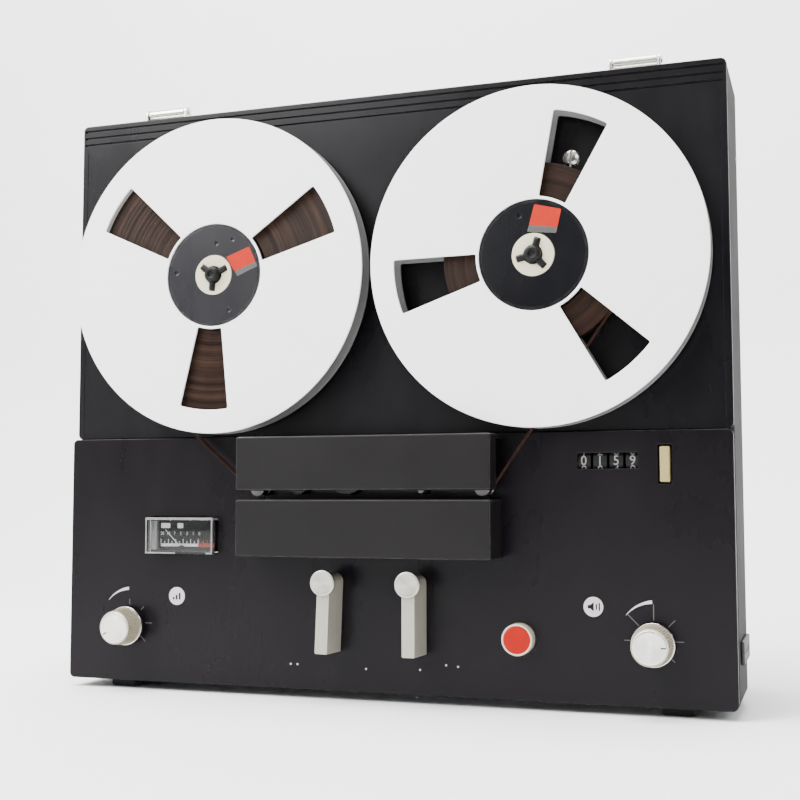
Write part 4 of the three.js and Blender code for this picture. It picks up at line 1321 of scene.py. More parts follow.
    def build_rear(self) -> None:
        """Makes the rear tub with its vents, screws and openings, and the four round feet on it."""
        low, high = box_mm("rear_housing")
        foot_back = high.y
        back = box_mm("socket_plate")[0].y + 6
        outline = rectangle(low.x, high.x, low.z, high.z, self.tub_corner, 10)
        stations = [(0.0, low.y), (0.0, back - 2.2), (0.3, back - 1.2), (0.9, back - 0.45),
                    (2.0, back - 0.05), (2.6, back)]
        tub = lofted([(drawn_in(wound(outline, True), inset), y) for inset, y in stations])
        cutters = [block((low.x + 3, low.y - 1, low.z + 3), (high.x - 3, back - 3, high.z - 3), 0)]
        for k in range(self.vent_count):
            x = (k - (self.vent_count - 1) / 2) * self.vent_pitch
            vent = rectangle(x - 1.5, x + 1.5, *self.vent_heights, 1.45, 6)
            cutters.append(plate(vent, back - 5, back + 1, 0))
        for node in ("power_inlet", "socket_plate"):
            hole_low, hole_high = box_mm(node)
            cutters.append(block((hole_low.x - self.tub_gap, back - 5, hole_low.z - self.tub_gap),
                                 (hole_high.x + self.tub_gap, back + 1, hole_high.z + self.tub_gap), 0))
        tub.carved(*cutters)
        settle(tub.piece("rear_tub"), "cabinet", GREY_SHELL, "grey_shell", "rear_housing")
        feet, screws = Form(), Form()
        for x in (-self.rear_reach, self.rear_reach):
            for z in self.rear_foot_heights:
                profile = rounded([(0, back - 0.5), (9, back - 0.5), (8.4, foot_back), (5, foot_back),
                                   (4.4, foot_back - 1), (0, foot_back - 1)], 0.8, 3, closed=False)
                feet.add(turned(profile, (x, 0, z), 48))
            for z in self.rear_screw_heights:
                profile = rounded([(0, back + 1.6), (2.4, back + 1.3), (3.2, back - 0.2), (0, back - 0.2)],
                                  0.5, 3, closed=False)
                head = turned(profile, (x, 0, z), 32)
                screws.add(head.carved(block((x - 4, back + 0.8, z - 0.4), (x + 4, back + 3, z + 0.4), 0)))
        settle(feet.piece("rear_feet"), "cabinet", SOFT_RUBBER, "rubber")
        settle(screws.piece("rear_screws"), "cabinet", PLATED_STEEL, "steel")


# ---------------------------------------------------------------- reels


@dataclass
class Reel:
    """One reel with its tape, hub and spindle, on the body that turns it.

    Attributes:
        side: The deck's side.
        window_turn: Direction of one window, in degrees from +X.
        lobe_turn: Direction of one spindle lobe.
        label: Corners of the hub's label as (radius, direction).
        dimples: Places of the shallow dimples in the hub, as (radius, direction).
        tape_light: Colour of the painted sheen on the tape's turns.
        hub_finish: Finish of the hub.
    """

    side: str
    window_turn: float
    lobe_turn: float
    label: tuple[Point, ...]
    dimples: tuple[Point, ...]
    tape_light: Colour
    hub_finish: MouldedPlastic
    radius: float = 89.0
    flange: float = 1.2
    window_inner: float = 30.5
    window_outer: float = 75.8
    window_inner_half: float = 13.7
    window_outer_half: float = 11.2
    hub_radius: float = 28.6
    drum_radius: float = 30.7
    insert_radius: float = 11.2
    bore: float = 5.0
    place: Vector = field(init=False)

    def __post_init__(self) -> None:
        """Reads the reel's place from its joint."""
        self.place = joint_axis_mm(f"{self.side}_reel_spin")

    @property
    def body(self) -> str:
        """Gives the name of the body that the reel turns with."""
        return f"{self.side}_reel"

    def build(self) -> None:
        """Makes every piece of the reel."""
        self.build_flanges()
        self.build_hub()
        self.build_label()
        self.build_pack()
        self.build_spindle()

    def window(self, middle: float) -> Outline:
        """Draws one window of a flange: an arc at each end and softened corners."""
        wide = arc(0, 0, self.window_outer,
                   middle - self.window_outer_half, middle + self.window_outer_half, 14)
        narrow = arc(0, 0, self.window_inner, middle + self.window_inner_half,
                     middle - self.window_inner_half, 8)
        return rounded(wide + narrow, 1.1, 2)

    def build_flanges(self) -> None:
        """Makes the front flange and the rear one, each with its windows and a rounded rim; the rear one has
        the same silver darkened as painted shade.
        """
        holes = [circle(0, 0, self.hub_radius + 0.35, 96)]
        holes += [self.window(self.window_turn + 120 * k) for k in range(3)]
        # The rear flange takes the darkened silver: painted shade.
        for name, finish in (("front", FLANGE_SILVER), ("rear", FLANGE_SILVER_SHADED)):
            low, high = box_mm(f"{self.side}_{name}_flange")
            disc = plate(circle(0, 0, self.radius, 192), low.y, high.y, 0.4, holes, 4)
            disc.moved(self.place.x, 0, self.place.z)
            settle(disc.piece(f"{self.side}_flange_{name}_disc"), self.body, finish, "silver_flange",
                   f"{self.side}_{name}_flange")

    def bore_outline(self, clearance: float) -> Outline:
        """Draws the spindle hole with its three slots."""
        outline: Outline = []
        half = 1.7 + clearance
        reach = 9.0 + clearance
        radius = self.bore + clearance
        open_half = math.degrees(math.asin(half / radius))
        for k in range(3):
            middle = self.lobe_turn + 120 * k
            aim = math.radians(middle)
            along, across = Vector((math.cos(aim), math.sin(aim))), Vector((-math.sin(aim), math.cos(aim)))
            for side in (-1, 1):
                corner = along * reach + across * half * side
                outline.append((corner.x, corner.y))
            outline += arc(0, 0, radius, middle + open_half, middle + 120 - open_half, 10)
        return outline

    def build_hub(self) -> None:
        """Makes the dark hub with its rim line and dimples, and the cream insert round the spindle."""
        low, high = box_mm(f"{self.side}_hub")
        front = low.y
        edge, drum = self.hub_radius, self.drum_radius
        flange_front = box_mm(f"{self.side}_front_flange")[1].y + 0.3
        flange_rear = box_mm(f"{self.side}_rear_flange")[0].y - 0.3
        insert = self.insert_radius
        profile = [(insert + 0.15, front + 1.0), (insert + 0.15, front), (edge - 1.3, front),
                   (edge - 1.1, front + 0.22), (edge - 0.8, front + 0.22), (edge - 0.6, front),
                   (edge, front), (edge, flange_front),
                   (drum, flange_front), (drum, flange_rear), (edge, flange_rear), (edge, high.y),
                   (insert + 0.15, high.y), (insert + 0.15, front + 1.0)]
        core = turned(profile, self.place, 128)
        cutters = []
        for radius, direction in self.dimples:
            x = self.place.x + radius * math.cos(math.radians(direction))
            z = self.place.z + radius * math.sin(math.radians(direction))
            cutters.append(turned([(0, front - 1), (1.9, front - 1), (1.3, front + 0.45), (0, front + 0.7)],
                                  (x, 0, z), 28))
        core.carved(*cutters)
        settle(core.piece(f"{self.side}_hub_core"), self.body, self.hub_finish, "dark_hub",
               f"{self.side}_hub")
        ring = plate(circle(0, 0, insert, 72), front - 0.25, high.y, 0.35, [self.bore_outline(0)], 3)
        ring.moved(self.place.x, 0, self.place.z)
        settle(ring.piece(f"{self.side}_hub_insert"), self.body, IVORY, "cream_plastic")

    def build_label(self) -> None:
        """Makes the plain coloured label on the hub, with a grey strip at its foot."""
        face = box_mm(f"{self.side}_hub")[0].y
        corners = [Vector((r * math.cos(math.radians(a)), r * math.sin(math.radians(a))))
                   for r, a in self.label]
        split = 0.76
        low_left = corners[0].lerp(corners[3], split)
        low_right = corners[1].lerp(corners[2], split)
        parts = (("label", LABEL_RED, [corners[0], corners[1], low_right, low_left], "red_plastic"),
                 ("label_strip", LABEL_GREY, [low_left, low_right, corners[2], corners[3]], "dark_hub"))
        for name, finish, spots, slot in parts:
            outline = [(self.place.x + v.x, self.place.z + v.y) for v in spots]
            sticker = plate(rounded(outline, 0.5, 3), face - 0.12, face - 0.01, 0.03, steps=2)
            settle(sticker.piece(f"{self.side}_{name}"), self.body, finish, slot)

    def build_pack(self) -> None:
        """Makes the wound tape, whose turns stand unevenly at both sides."""
        low, high = box_mm(f"{self.side}_tape_pack")
        outer = (high.x - low.x) / 2
        inner = self.drum_radius + 0.4
        turn_count = 60

        def swell(k: int) -> float:
            """Gives how far a turn stands back from the flattest one."""
            wave = math.sin(k * 1.7) + 0.6 * math.sin(k * 0.61 + 1.3) + 0.4 * math.sin(k * 3.1 + 0.4)
            return 0.1 + 0.05 * wave

        front = [(inner + (outer - inner) * k / turn_count, low.y + swell(k)) for k in range(turn_count + 1)]
        back = [(radius, high.y - (y - low.y)) for radius, y in reversed(front)]
        profile = [*front, *back, front[0]]
        finish = WoundTape(f"wound_tape_{self.side}", (0.0085, 0.0042, 0.0028), 0.42, dust=0, gloss=0.1,
                           centre=tuple(self.place), light=self.tape_light)
        pack = turned(profile, self.place, 144)
        settle(pack.piece(f"{self.side}_pack_wound", 60), self.body, finish, "tape",
               f"{self.side}_tape_pack")

    def build_spindle(self) -> None:
        """Makes the spindle: a post with three lobes and a hollow tip, on its turntable."""
        low, high = box_mm(f"{self.side}_spindle")
        tip = low.y
        table = box_mm(f"{self.side}_rear_flange")[1].y + 0.3
        profile = rounded([(0, tip + 1.2), (1.5, tip + 1.2), (1.9, tip + 0.1), (3.2, tip), (4.4, tip + 1.3),
                           (4.5, table - 0.5), (4.5, table), (26, table), (26, table + 2.6),
                           (3, table + 2.6), (3, high.y), (0, high.y)], 0.5, 3, closed=False)
        post = turned(profile, self.place, 72)
        for k in range(3):
            lobe = block((1.5, tip + 1.9, -1.55), (8.7, table + 0.6, 1.55), 1.1, 5)
            lobe.turned_by(self.lobe_turn + 120 * k, Vector((0, 0, 0))).moved(self.place.x, 0, self.place.z)
            post.add(lobe)
        pulley = ring_section([(2.6, -38), (36, -38), (36, -36), (34.5, -35), (36, -34), (36, -32),
                               (2.6, -32)], 0.4)
        post.add(turned(pulley, self.place, 96))
        settle(post.piece(f"{self.side}_spindle_post"), self.body, DARK_TRIM, "black_plastic",
               f"{self.side}_spindle")


# ---------------------------------------------------------------- tape path


@dataclass
class TapePath:
    """The free tape, its guides, the two head covers, and the parts behind them."""

    tape_thickness: float = 0.12
    cover_wall: float = 2.0
    cover_edge: float = 1.3
    lip_back: float = -64.0
    bend_steps: int = 14
    guide_radius: float = 3.45
    guide_flange: float = 4.2

    def build(self) -> None:
        """Makes every piece of the tape path."""
        self.build_ribbon()
        self.build_guides()
        self.build_covers()
        self.build_roller()

    def build_ribbon(self) -> None:
        """Makes the ribbon from one pack, under both guides, to the other pack."""
        low, high = box_mm("tape_run")
        circles = []
        for side in SIDES:
            pack_low, pack_high = box_mm(f"{side}_tape_pack")
            spot = (pack_low + pack_high) / 2
            circles.append((Vector((spot.x, spot.z)), (pack_high.x - pack_low.x) / 2 + 0.3))
        guides = []
        for side in SIDES:
            place = self.guide_place(side)
            guides.append((Vector((place.x, place.z)), self.guide_radius))
        circles = [circles[0], *guides, circles[1]]
        headings = []
        for (a, near), (b, far) in pairwise(circles):
            gap = b - a
            headings.append(math.atan2(gap.y, gap.x) - math.asin((far - near) / gap.length))
        spans = [(circles[0], headings[0], headings[0]), (circles[1], headings[0], headings[1]),
                 (circles[2], headings[1], headings[2]), (circles[3], headings[2], headings[2])]
        inner: Outline = []
        outer: Outline = []
        for (middle, radius), first, last in spans:
            steps = self.bend_steps if first != last else 0
            for k in range(steps + 1):
                heading = first + (last - first) * k / max(steps, 1)
                away = Vector((math.sin(heading), -math.cos(heading)))
                for line, distance in ((inner, radius), (outer, radius + self.tape_thickness)):
                    spot = middle + away * distance
                    line.append((spot.x, spot.y))
        ribbon = plate(inner + outer[::-1], low.y, high.y, 0.03, steps=1)
        settle(ribbon.piece("tape_ribbon"), "cabinet", TAPE_BACK, "tape", "tape_run")

    def guide_place(self, side: str) -> Vector:
        """Gives the axis of a tape guide: the left end of its box is its flange's edge."""
        low, high = box_mm(f"tape_guide_{side}")
        return Vector((low.x + self.guide_flange, 0, low.z + self.guide_flange))

    def build_guides(self) -> None:
        """Makes the two flanged guide posts, the right one with its steel blade."""
        for side in SIDES:
            node = f"tape_guide_{side}"
            low, high = box_mm(node)
            place = self.guide_place(side)
            profile = rounded([(0, low.y), (4.15, low.y), (4.15, low.y + 1), (3, low.y + 1.3), (3, -53.9),
                               (4.15, -53.6), (4.15, high.y), (0, high.y)], 0.3, 3, closed=False)
            post = turned(profile, place, 56)
            if side == "right":
                post.add(block((place.x + 3.2, -60, place.z + 1.4), (place.x + 4.3, high.y, place.z + 7.4),
                               0.25))
            # The guides take the darkened steel: painted shade from the head covers.
            settle(post.piece(f"guide_{side}"), "cabinet", GUIDE_STEEL_SHADED, "bright_metal", node)

    def build_covers(self) -> None:
        """Makes the two head covers, each open at the rear and towards the slot between them."""
        wall = self.cover_wall
        for name in ("upper", "lower"):
            low, high = box_mm(f"head_cover_{name}")
            shell = block(low, high, self.cover_edge, 2)
            inside = Vector((low.x + wall, low.y + wall, low.z + wall))
            hollow = block(inside, (high.x - wall, high.y + 1, high.z - wall), 0.4)
            if name == "upper":
                mouth = block((low.x - 1, self.lip_back, low.z - 1),
                              (high.x + 1, high.y + 1, high.z - wall), 0)
            else:
                mouth = block((inside.x, self.lip_back, inside.z),
                              (high.x - wall, high.y + 1, high.z + 1), 0)
            shell.carved(hollow, mouth)
            settle(shell.piece(f"cover_{name}"), "cabinet", COVER_BLACK, "cover_plastic",
                   f"head_cover_{name}")

    def build_roller(self) -> None:
        """Makes the pinch roller: a rubber tyre with softened rims."""
        low, high = box_mm("pinch_roller")
        middle = (low + high) / 2
        radius = (high.x - low.x) / 2
        section = ring_section([(2.3, low.y), (radius, low.y), (radius, high.y), (2.3, high.y)], 0.5)
        roller = turned(section, (middle.x, 0, middle.z), 72)
        settle(roller.piece("roller_tyre"), "pinch_roller_body", SOFT_RUBBER, "rubber", "pinch_roller")


# ---------------------------------------------------------------- controls


@dataclass
class TransportLever:
    """One transport lever with its turned cap.

    Attributes:
        side: Which lever.
        lean: How far it leans from upright at rest, in degrees, anticlockwise.
    """

    side: str
    lean: float
    length: float = 37.5
    front_half: float = 3.6
    back_half: float = 4.8
    corner: float = 0.9
    place: Vector = field(init=False)

    def __post_init__(self) -> None:
        """Reads the lever's place from its joint."""
        self.place = joint_axis_mm(f"{self.side}_lever_turn")

    def outline(self, half: float, inset: float) -> Outline:
        """Draws the lever's section: a round top and a foot with softened corners."""
        top = arc(0, 0, half, 0, 180, 24)
        foot = rounded([top[-1], (-half, -self.length), (half, -self.length), top[0]], self.corner, 4,
                       closed=False)
        return drawn_in(wound(top + foot[1:-1], True), inset)

    def build(self) -> None:
        """Makes the lever's bar, shaft and cap."""
        cap_low, cap_high = box_mm(f"{self.side}_lever_cap")
        front = cap_high.y + 0.3
        back = -52.0
        body = f"{self.side}_lever_body"
        sections = [(self.outline(self.front_half, 0.6), front),
                    (self.outline(self.front_half, 0.17), front + 0.17),
                    (self.outline(self.front_half, 0), front + 0.6),
                    (self.outline(self.back_half, 0), back - 0.4), (self.outline(self.back_half, 0.3), back)]
        bar = lofted(sections)
        bar.add(turned([(0, back - 1), (3, back - 1), (3, -43.6), (2.6, -43.5), (0, -43.5)], (0, 0, 0), 40))
        bar.turned_by(self.lean, Vector((0, 0, 0))).moved(self.place.x, 0, self.place.z)
        settle(bar.piece(f"{self.side}_lever_bar"), body, CHAMPAGNE, "champagne_metal", f"{self.side}_lever")
        profile = rounded([(0, cap_low.y + 0.12), (5.6, cap_low.y + 0.05), (5.9, cap_low.y),
                           (6.6, cap_low.y + 0.2), (7, cap_low.y + 0.7), (7, cap_high.y),
                           (0, cap_high.y)], 0.25, 3, closed=False)
        finish = SpunMetal(f"lever_cap_{self.side}_metal", (0.5, 0.485, 0.43), 0.3, worn=(0.85, 0.84, 0.8),
                           dust=0.05, centre=tuple(self.place), rings=6500)
        cap = turned(profile, self.place, 72)
        settle(cap.piece(f"{self.side}_lever_button"), body, finish, "bright_metal",
               f"{self.side}_lever_cap")


@dataclass
class Knob:
    """One rotary knob: a ribbed cone, a spun face, a skirt ring and a pointer mark.

    Attributes:
        side: Which knob.
        pointer: Direction of the pointer mark, in degrees from +X.
    """

    side: str
    pointer: float
    rib_count: int = 54
    place: Vector = field(init=False)

    def __post_init__(self) -> None:
        """Reads the knob's place from its joint."""
        self.place = joint_axis_mm(f"{self.side}_knob_turn")

    def build(self) -> None:
        """Makes the knob's pieces."""
        body = f"{self.side}_knob_body"
        low, high = box_mm(f"{self.side}_knob")
        front, back = low.y, -54.5
        cone_steps = 12
        cone = [(9.25 + 1.15 * k / cone_steps, front + 0.75 + 9.6 * k / cone_steps)
                for k in range(cone_steps + 1)]
        profile = [(0, front + 0.5), (8.5, front + 0.5), (9.0, front + 0.35), *cone, (10.4, back - 2.6),
                   (10.0, back - 2.3), (10.0, back - 0.2), (3, back - 0.2), (3, high.y), (0, high.y)]
        ribs = Ribs(self.rib_count, 0.55, front + 0.9, back - 2.9)
        grip = turned(profile, self.place, self.rib_count * 6, ribs=ribs)
        side_finish = SpunMetal(f"knob_{self.side}_side", (0.5, 0.45, 0.34), 0.42, worn=(0.7, 0.66, 0.55),
                                dust=0.0, centre=tuple(self.place), rings=1500, metallic=0.4, sheen_bow=0.2)
        settle(grip.piece(f"{self.side}_knob_grip", 50), body, side_finish, "bright_metal",
               f"{self.side}_knob")
        face_finish = SpunMetal(f"knob_{self.side}_face", (0.8, 0.79, 0.74), 0.3, worn=(0.9, 0.9, 0.86),
                                dust=0.0, centre=tuple(self.place), rings=5200, relief=0.3)
        dish = rounded([(0, front + 0.12), (2, front + 0.12), (7.6, front), (8.3, front + 0.1),
                        (8.6, front + 0.48), (0, front + 0.48)], 0.2, 3, closed=False)
        disc = turned(dish, self.place, 96)
        settle(disc.piece(f"{self.side}_knob_face"), body, face_finish, "bright_metal")
        skirt = turned(ring_section([(9.6, back - 2.0), (10.9, back - 2.0), (10.9, back), (9.6, back)], 0.4),
                       self.place, 96)
        settle(skirt.piece(f"{self.side}_knob_skirt"), body, BRIGHT_NICKEL, "bright_metal")
        mark = block((5.4, front - 0.02, -0.35), (8.0, front + 0.2, 0.35), 0.1, 2)
        mark.turned_by(self.pointer, Vector((0, 0, 0))).moved(self.place.x, 0, self.place.z)
        settle(mark.piece(f"{self.side}_knob_pointer"), body, DARK_TRIM, "black_plastic")


@dataclass
class RecordButton:
    """The round record button: a pale metal sleeve with a red face."""

    radius: float = 8.1
    face_radius: float = 7.0

    def build(self) -> None:
        """Makes the sleeve, the red face, and a dark ring on the panel round the button, which paints the
        shade that falls there.
        """
        low, high = box_mm("record_button")
        middle = centre_mm("record_button")
        place = Vector((middle.x, 0, middle.z))
        r, front = self.radius, low.y
        profile = rounded([(0, front + 0.5), (self.face_radius + 0.1, front + 0.5),
                           (self.face_radius + 0.2, front + 0.1), (r - 0.35, front), (r, front + 0.4),
                           (r, -47.2), (r + 1.2, -47.1), (r + 1.2, -46.1), (2.5, -46), (2.5, high.y),
                           (0, high.y)], 0.2, 3, closed=False)
        sleeve_finish = SpunMetal("button_sleeve", (0.62, 0.52, 0.42), 0.4, worn=(0.8, 0.72, 0.65),
                                  dust=0.05, centre=tuple(place), rings=4000, metallic=0.25, sheen_bow=0.4)
        sleeve = turned(profile, place, 96)
        settle(sleeve.piece("button_sleeve"), "record_button_body", sleeve_finish, "bright_metal",
               "record_button")
        dome = rounded([(0, front), (4, front + 0.02), (6.3, front + 0.12), (self.face_radius, front + 0.3),
                        (self.face_radius, front + 0.48), (0, front + 0.48)], 0.15, 3, closed=False)
        face = turned(dome, place, 80)
        settle(face.piece("button_face"), "record_button_body", RED, "red_plastic")
        # A dark ring on the panel face round the button, where shade falls round it: painted shade.
        panel = box_mm("control_panel")[0].y
        shade_ring = turned(ring_section([(8.55, panel - 0.12), (9.9, panel - 0.12), (9.9, panel + 0.3),
                                      (8.55, panel + 0.3)], 0.12), place, 80)
        settle(shade_ring.piece("button_shade_ring"), "cabinet", DARK_TRIM, "black_plastic")


@dataclass
class Counter:
    """The tape counter with its figures, and the reset key.

    Attributes:
        shown: The figure that each wheel shows at rest, from the left.
    """

    shown: tuple[int, ...] = (0, 1, 5, 9)
    names: tuple[str, ...] = ("thousands", "hundreds", "tens", "units")
    figure_height: float = 4.9
    figure_cuts: int = 10

    def build(self) -> None:
        """Makes the four wheels and the key."""
        for name, figure in zip(self.names, self.shown):
            self.build_wheel(name, figure)
        self.build_key()

    def build_wheel(self, name: str, shown: int) -> None:
        """Makes one wheel with the figures 0 to 9 round it.

        Args:
            name: The wheel's place.
            shown: The figure that faces the front.
        """
        node = f"counter_wheel_{name}"
        low, high = box_mm(node)
        middle = (low + high) / 2
        radius, half = (high.z - low.z) / 2, (high.x - low.x) / 2
        section = ring_section([(1.8, -half), (radius - 0.4, -half), (radius, -half + 0.35),
                                (radius, half - 0.35), (radius - 0.4, half), (1.8, half)], 0.12)
        wheel = turned(section, middle, 80, Axis.ACROSS)
        settle(wheel.piece(f"wheel_{name}"), f"wheel_{name}", DARK_TRIM, "black_plastic", node)
        figures = Form()
        for figure in range(10):
            start = math.radians(36 * (figure - shown))
            flat = written(str(figure), self.figure_height, 0, 0, 0, 0.95)
            for k in range(1, self.figure_cuts):
                level = self.figure_height * (k / self.figure_cuts - 0.5)
                parts = [*flat.bm.verts, *flat.bm.edges, *flat.bm.faces]
                bmesh.ops.bisect_plane(flat.bm, geom=parts, plane_co=(0, 0, level), plane_no=(0, 0, 1))

            def wrap(v: Vector, start: float = start) -> Vector:
                """Rolls a flat figure onto the wheel."""
                angle = start + v.z / radius
                reach = radius - v.y
                return Vector((middle.x + v.x, middle.y - reach * math.cos(angle),
                               middle.z + reach * math.sin(angle)))

            figures.add(flat.bent(wrap))
        settle(figures.piece(f"wheel_{name}_figures"), f"wheel_{name}", GREY_INK, "cream_plastic")

    def build_key(self) -> None:
        """Makes the cream reset key, and its dark flange behind the panel."""
        low, high = box_mm("counter_reset_key")
        panel_inner = -47.1
        key = block((low.x + 2, low.y, low.z + 2), (high.x - 2, high.y, high.z - 2), 0.7, 3)
        settle(key.piece("reset_key"), "reset_key_body", CREAM, "cream_plastic", "counter_reset_key")
        flange = block((low.x, panel_inner, low.z), (high.x, -45.5, high.z), 0.3, 2)
        settle(flange.piece("reset_key_flange"), "reset_key_body", DARK_TRIM, "black_plastic")


@dataclass
class LevelMeter:
    """The level meter: a clear housing that stands proud, with its dial and needle inside."""

    wall: float = 1.3
    scale_drop: float = 15.6
    scale_left: float = 7.4
    red_left: float = 31.0
    figure_height: float = 1.9

    def build(self) -> None:
        """Makes every piece of the meter."""
        self.build_window()
        self.build_dial()
        self.build_needle()

    def build_window(self) -> None:
        """Makes the clear housing, and the pale lines where the light gathers in its edges."""
        low, high = box_mm("meter_window")
        wall = self.wall
        window = block(low, high, 0.5, 3)
        window.carved(block((low.x + wall, low.y + wall, low.z + wall),
                            (high.x - wall, high.y + 1, high.z - wall), 0.3))
        settle(window.piece("meter_glass"), "cabinet", CLEAR, "clear_plastic", "meter_window")
        front, panel = low.y - 0.05, box_mm("control_panel")[0].y
        # Pale strips laid where light gathers in the clear housing's edges: painted highlights.
        lines = block((low.x, front, high.z - 1.4), (high.x, front + 0.7, high.z - 0.1), 0.2, 2)
        lines.add(block((low.x, front, low.z + 0.1), (low.x + 19, front + 0.5, low.z + 0.9), 0.15, 2))
        lines.add(block((high.x - 4, front, low.z + 0.1), (high.x, front + 0.5, low.z + 0.9), 0.15, 2))
        for x, width in ((low.x + 0.1, 0.8), (low.x + 3.0, 0.5), (high.x - 0.8, 0.8)):
            lines.add(block((x, front, low.z + 0.5), (x + width, front + 0.6, high.z - 1.0), 0.15, 2))
        lines.add(block((high.x - 0.15, front + 0.5, high.z - 1.4), (high.x + 0.05, panel, high.z - 0.2),
                        0.05, 1))
        settle(lines.piece("meter_edge_highlights"), "cabinet", CLEAR_EDGE, "clear_plastic")

    def build_dial(self) -> None:
        """Makes the dark case with its pale post, and prints the scale, its ticks and its figures."""
        low, high = box_mm("meter_body")
        window_low, window_high = box_mm("meter_window")
        inset = self.wall + 0.3
        case = block((low.x + inset, low.y, low.z + inset), (high.x - inset, high.y, high.z - inset), 0.2, 2)
        case.add(block((low.x, window_high.y + 0.3, low.z), high, 0.5, 2))
        settle(case.piece("meter_case"), "cabinet", DARK_TRIM, "black_plastic", "meter_body")
        face = low.y
        post = block((low.x + 2.6, face - 3.2, low.z + 2.2), (low.x + 6.2, face + 0.2, high.z - 2.2), 0.4, 3)
        settle(post.piece("meter_post"), "cabinet", CLEAR_EDGE, "clear_plastic")
        bar_z = window_high.z - self.scale_drop
        left, change = window_low.x + self.scale_left, window_low.x + self.red_left
        right = high.x - inset - 0.6
        white = plate(rectangle(left, change, bar_z - 0.8, bar_z + 0.8), face - INK, face, 0)
        tick_count = 11
        for k in range(tick_count):
            x = left + (change - left) * k / (tick_count - 1)
            tall = 2.6 if k % 2 == 0 else 1.4
            white.add(plate(rectangle(x - 0.2, x + 0.2, bar_z + 0.6, bar_z + 0.8 + tall), face - INK, face,
                            0))
        figures = ("20", "10", "7", "5", "3", "1", "0")
        for k, text in enumerate(figures):
            x = left + 0.8 + (change - left) * k / (len(figures) - 1)
            white.add(written(text, self.figure_height, x, bar_z + 6.4, face, 0.85))
        for x, wide in ((left + 2.9, 2.9), (left + 12.3, 1.8)):
            white.add(plate(rectangle(x - wide, x + wide, bar_z + 9.5, bar_z + 12.3, 0.4), face - INK, face,
                            0))
        settle(white.piece("meter_print_white"), "cabinet", WHITE_INK, "cream_plastic")
        red = plate(rectangle(change + 0.2, right, bar_z - 1.1, bar_z + 1.1), face - INK, face, 0)
        for k in range(4):
            x = change + 1 + (right - change - 2) * k / 3
            red.add(plate(rectangle(x - 0.2, x + 0.2, bar_z + 1.0, bar_z + 3.2), face - INK, face, 0))
        settle(red.piece("meter_print_red"), "cabinet", RED_INK, "red_plastic")

    def build_needle(self) -> None:
        """Makes the needle with its hub."""
        low, high = box_mm("meter_needle")
        pivot = joint_place_mm("needle_turn")
        reach = 14.5
        shape = [(-0.28, 0), (0.28, 0), (0.12, reach), (-0.12, reach)]
        hand = lofted([(shape, low.y + 0.2), (shape, low.y + 0.6)])
        hand.turned_by(45, Vector((0, 0, 0))).moved(pivot.x, 0, pivot.z)
        hub = turned(rounded([(0, low.y), (1.6, low.y), (1.6, high.y), (0, high.y)], 0.3, 3, closed=False),
                     (pivot.x, 0, pivot.z), 40)
        settle(hand.piece("needle_hand"), "needle", WHITE_INK, "red_plastic", "meter_needle")
        settle(hub.piece("needle_hub"), "needle", DARK_TRIM, "black_plastic")


# ---------------------------------------------------------------- printed marks


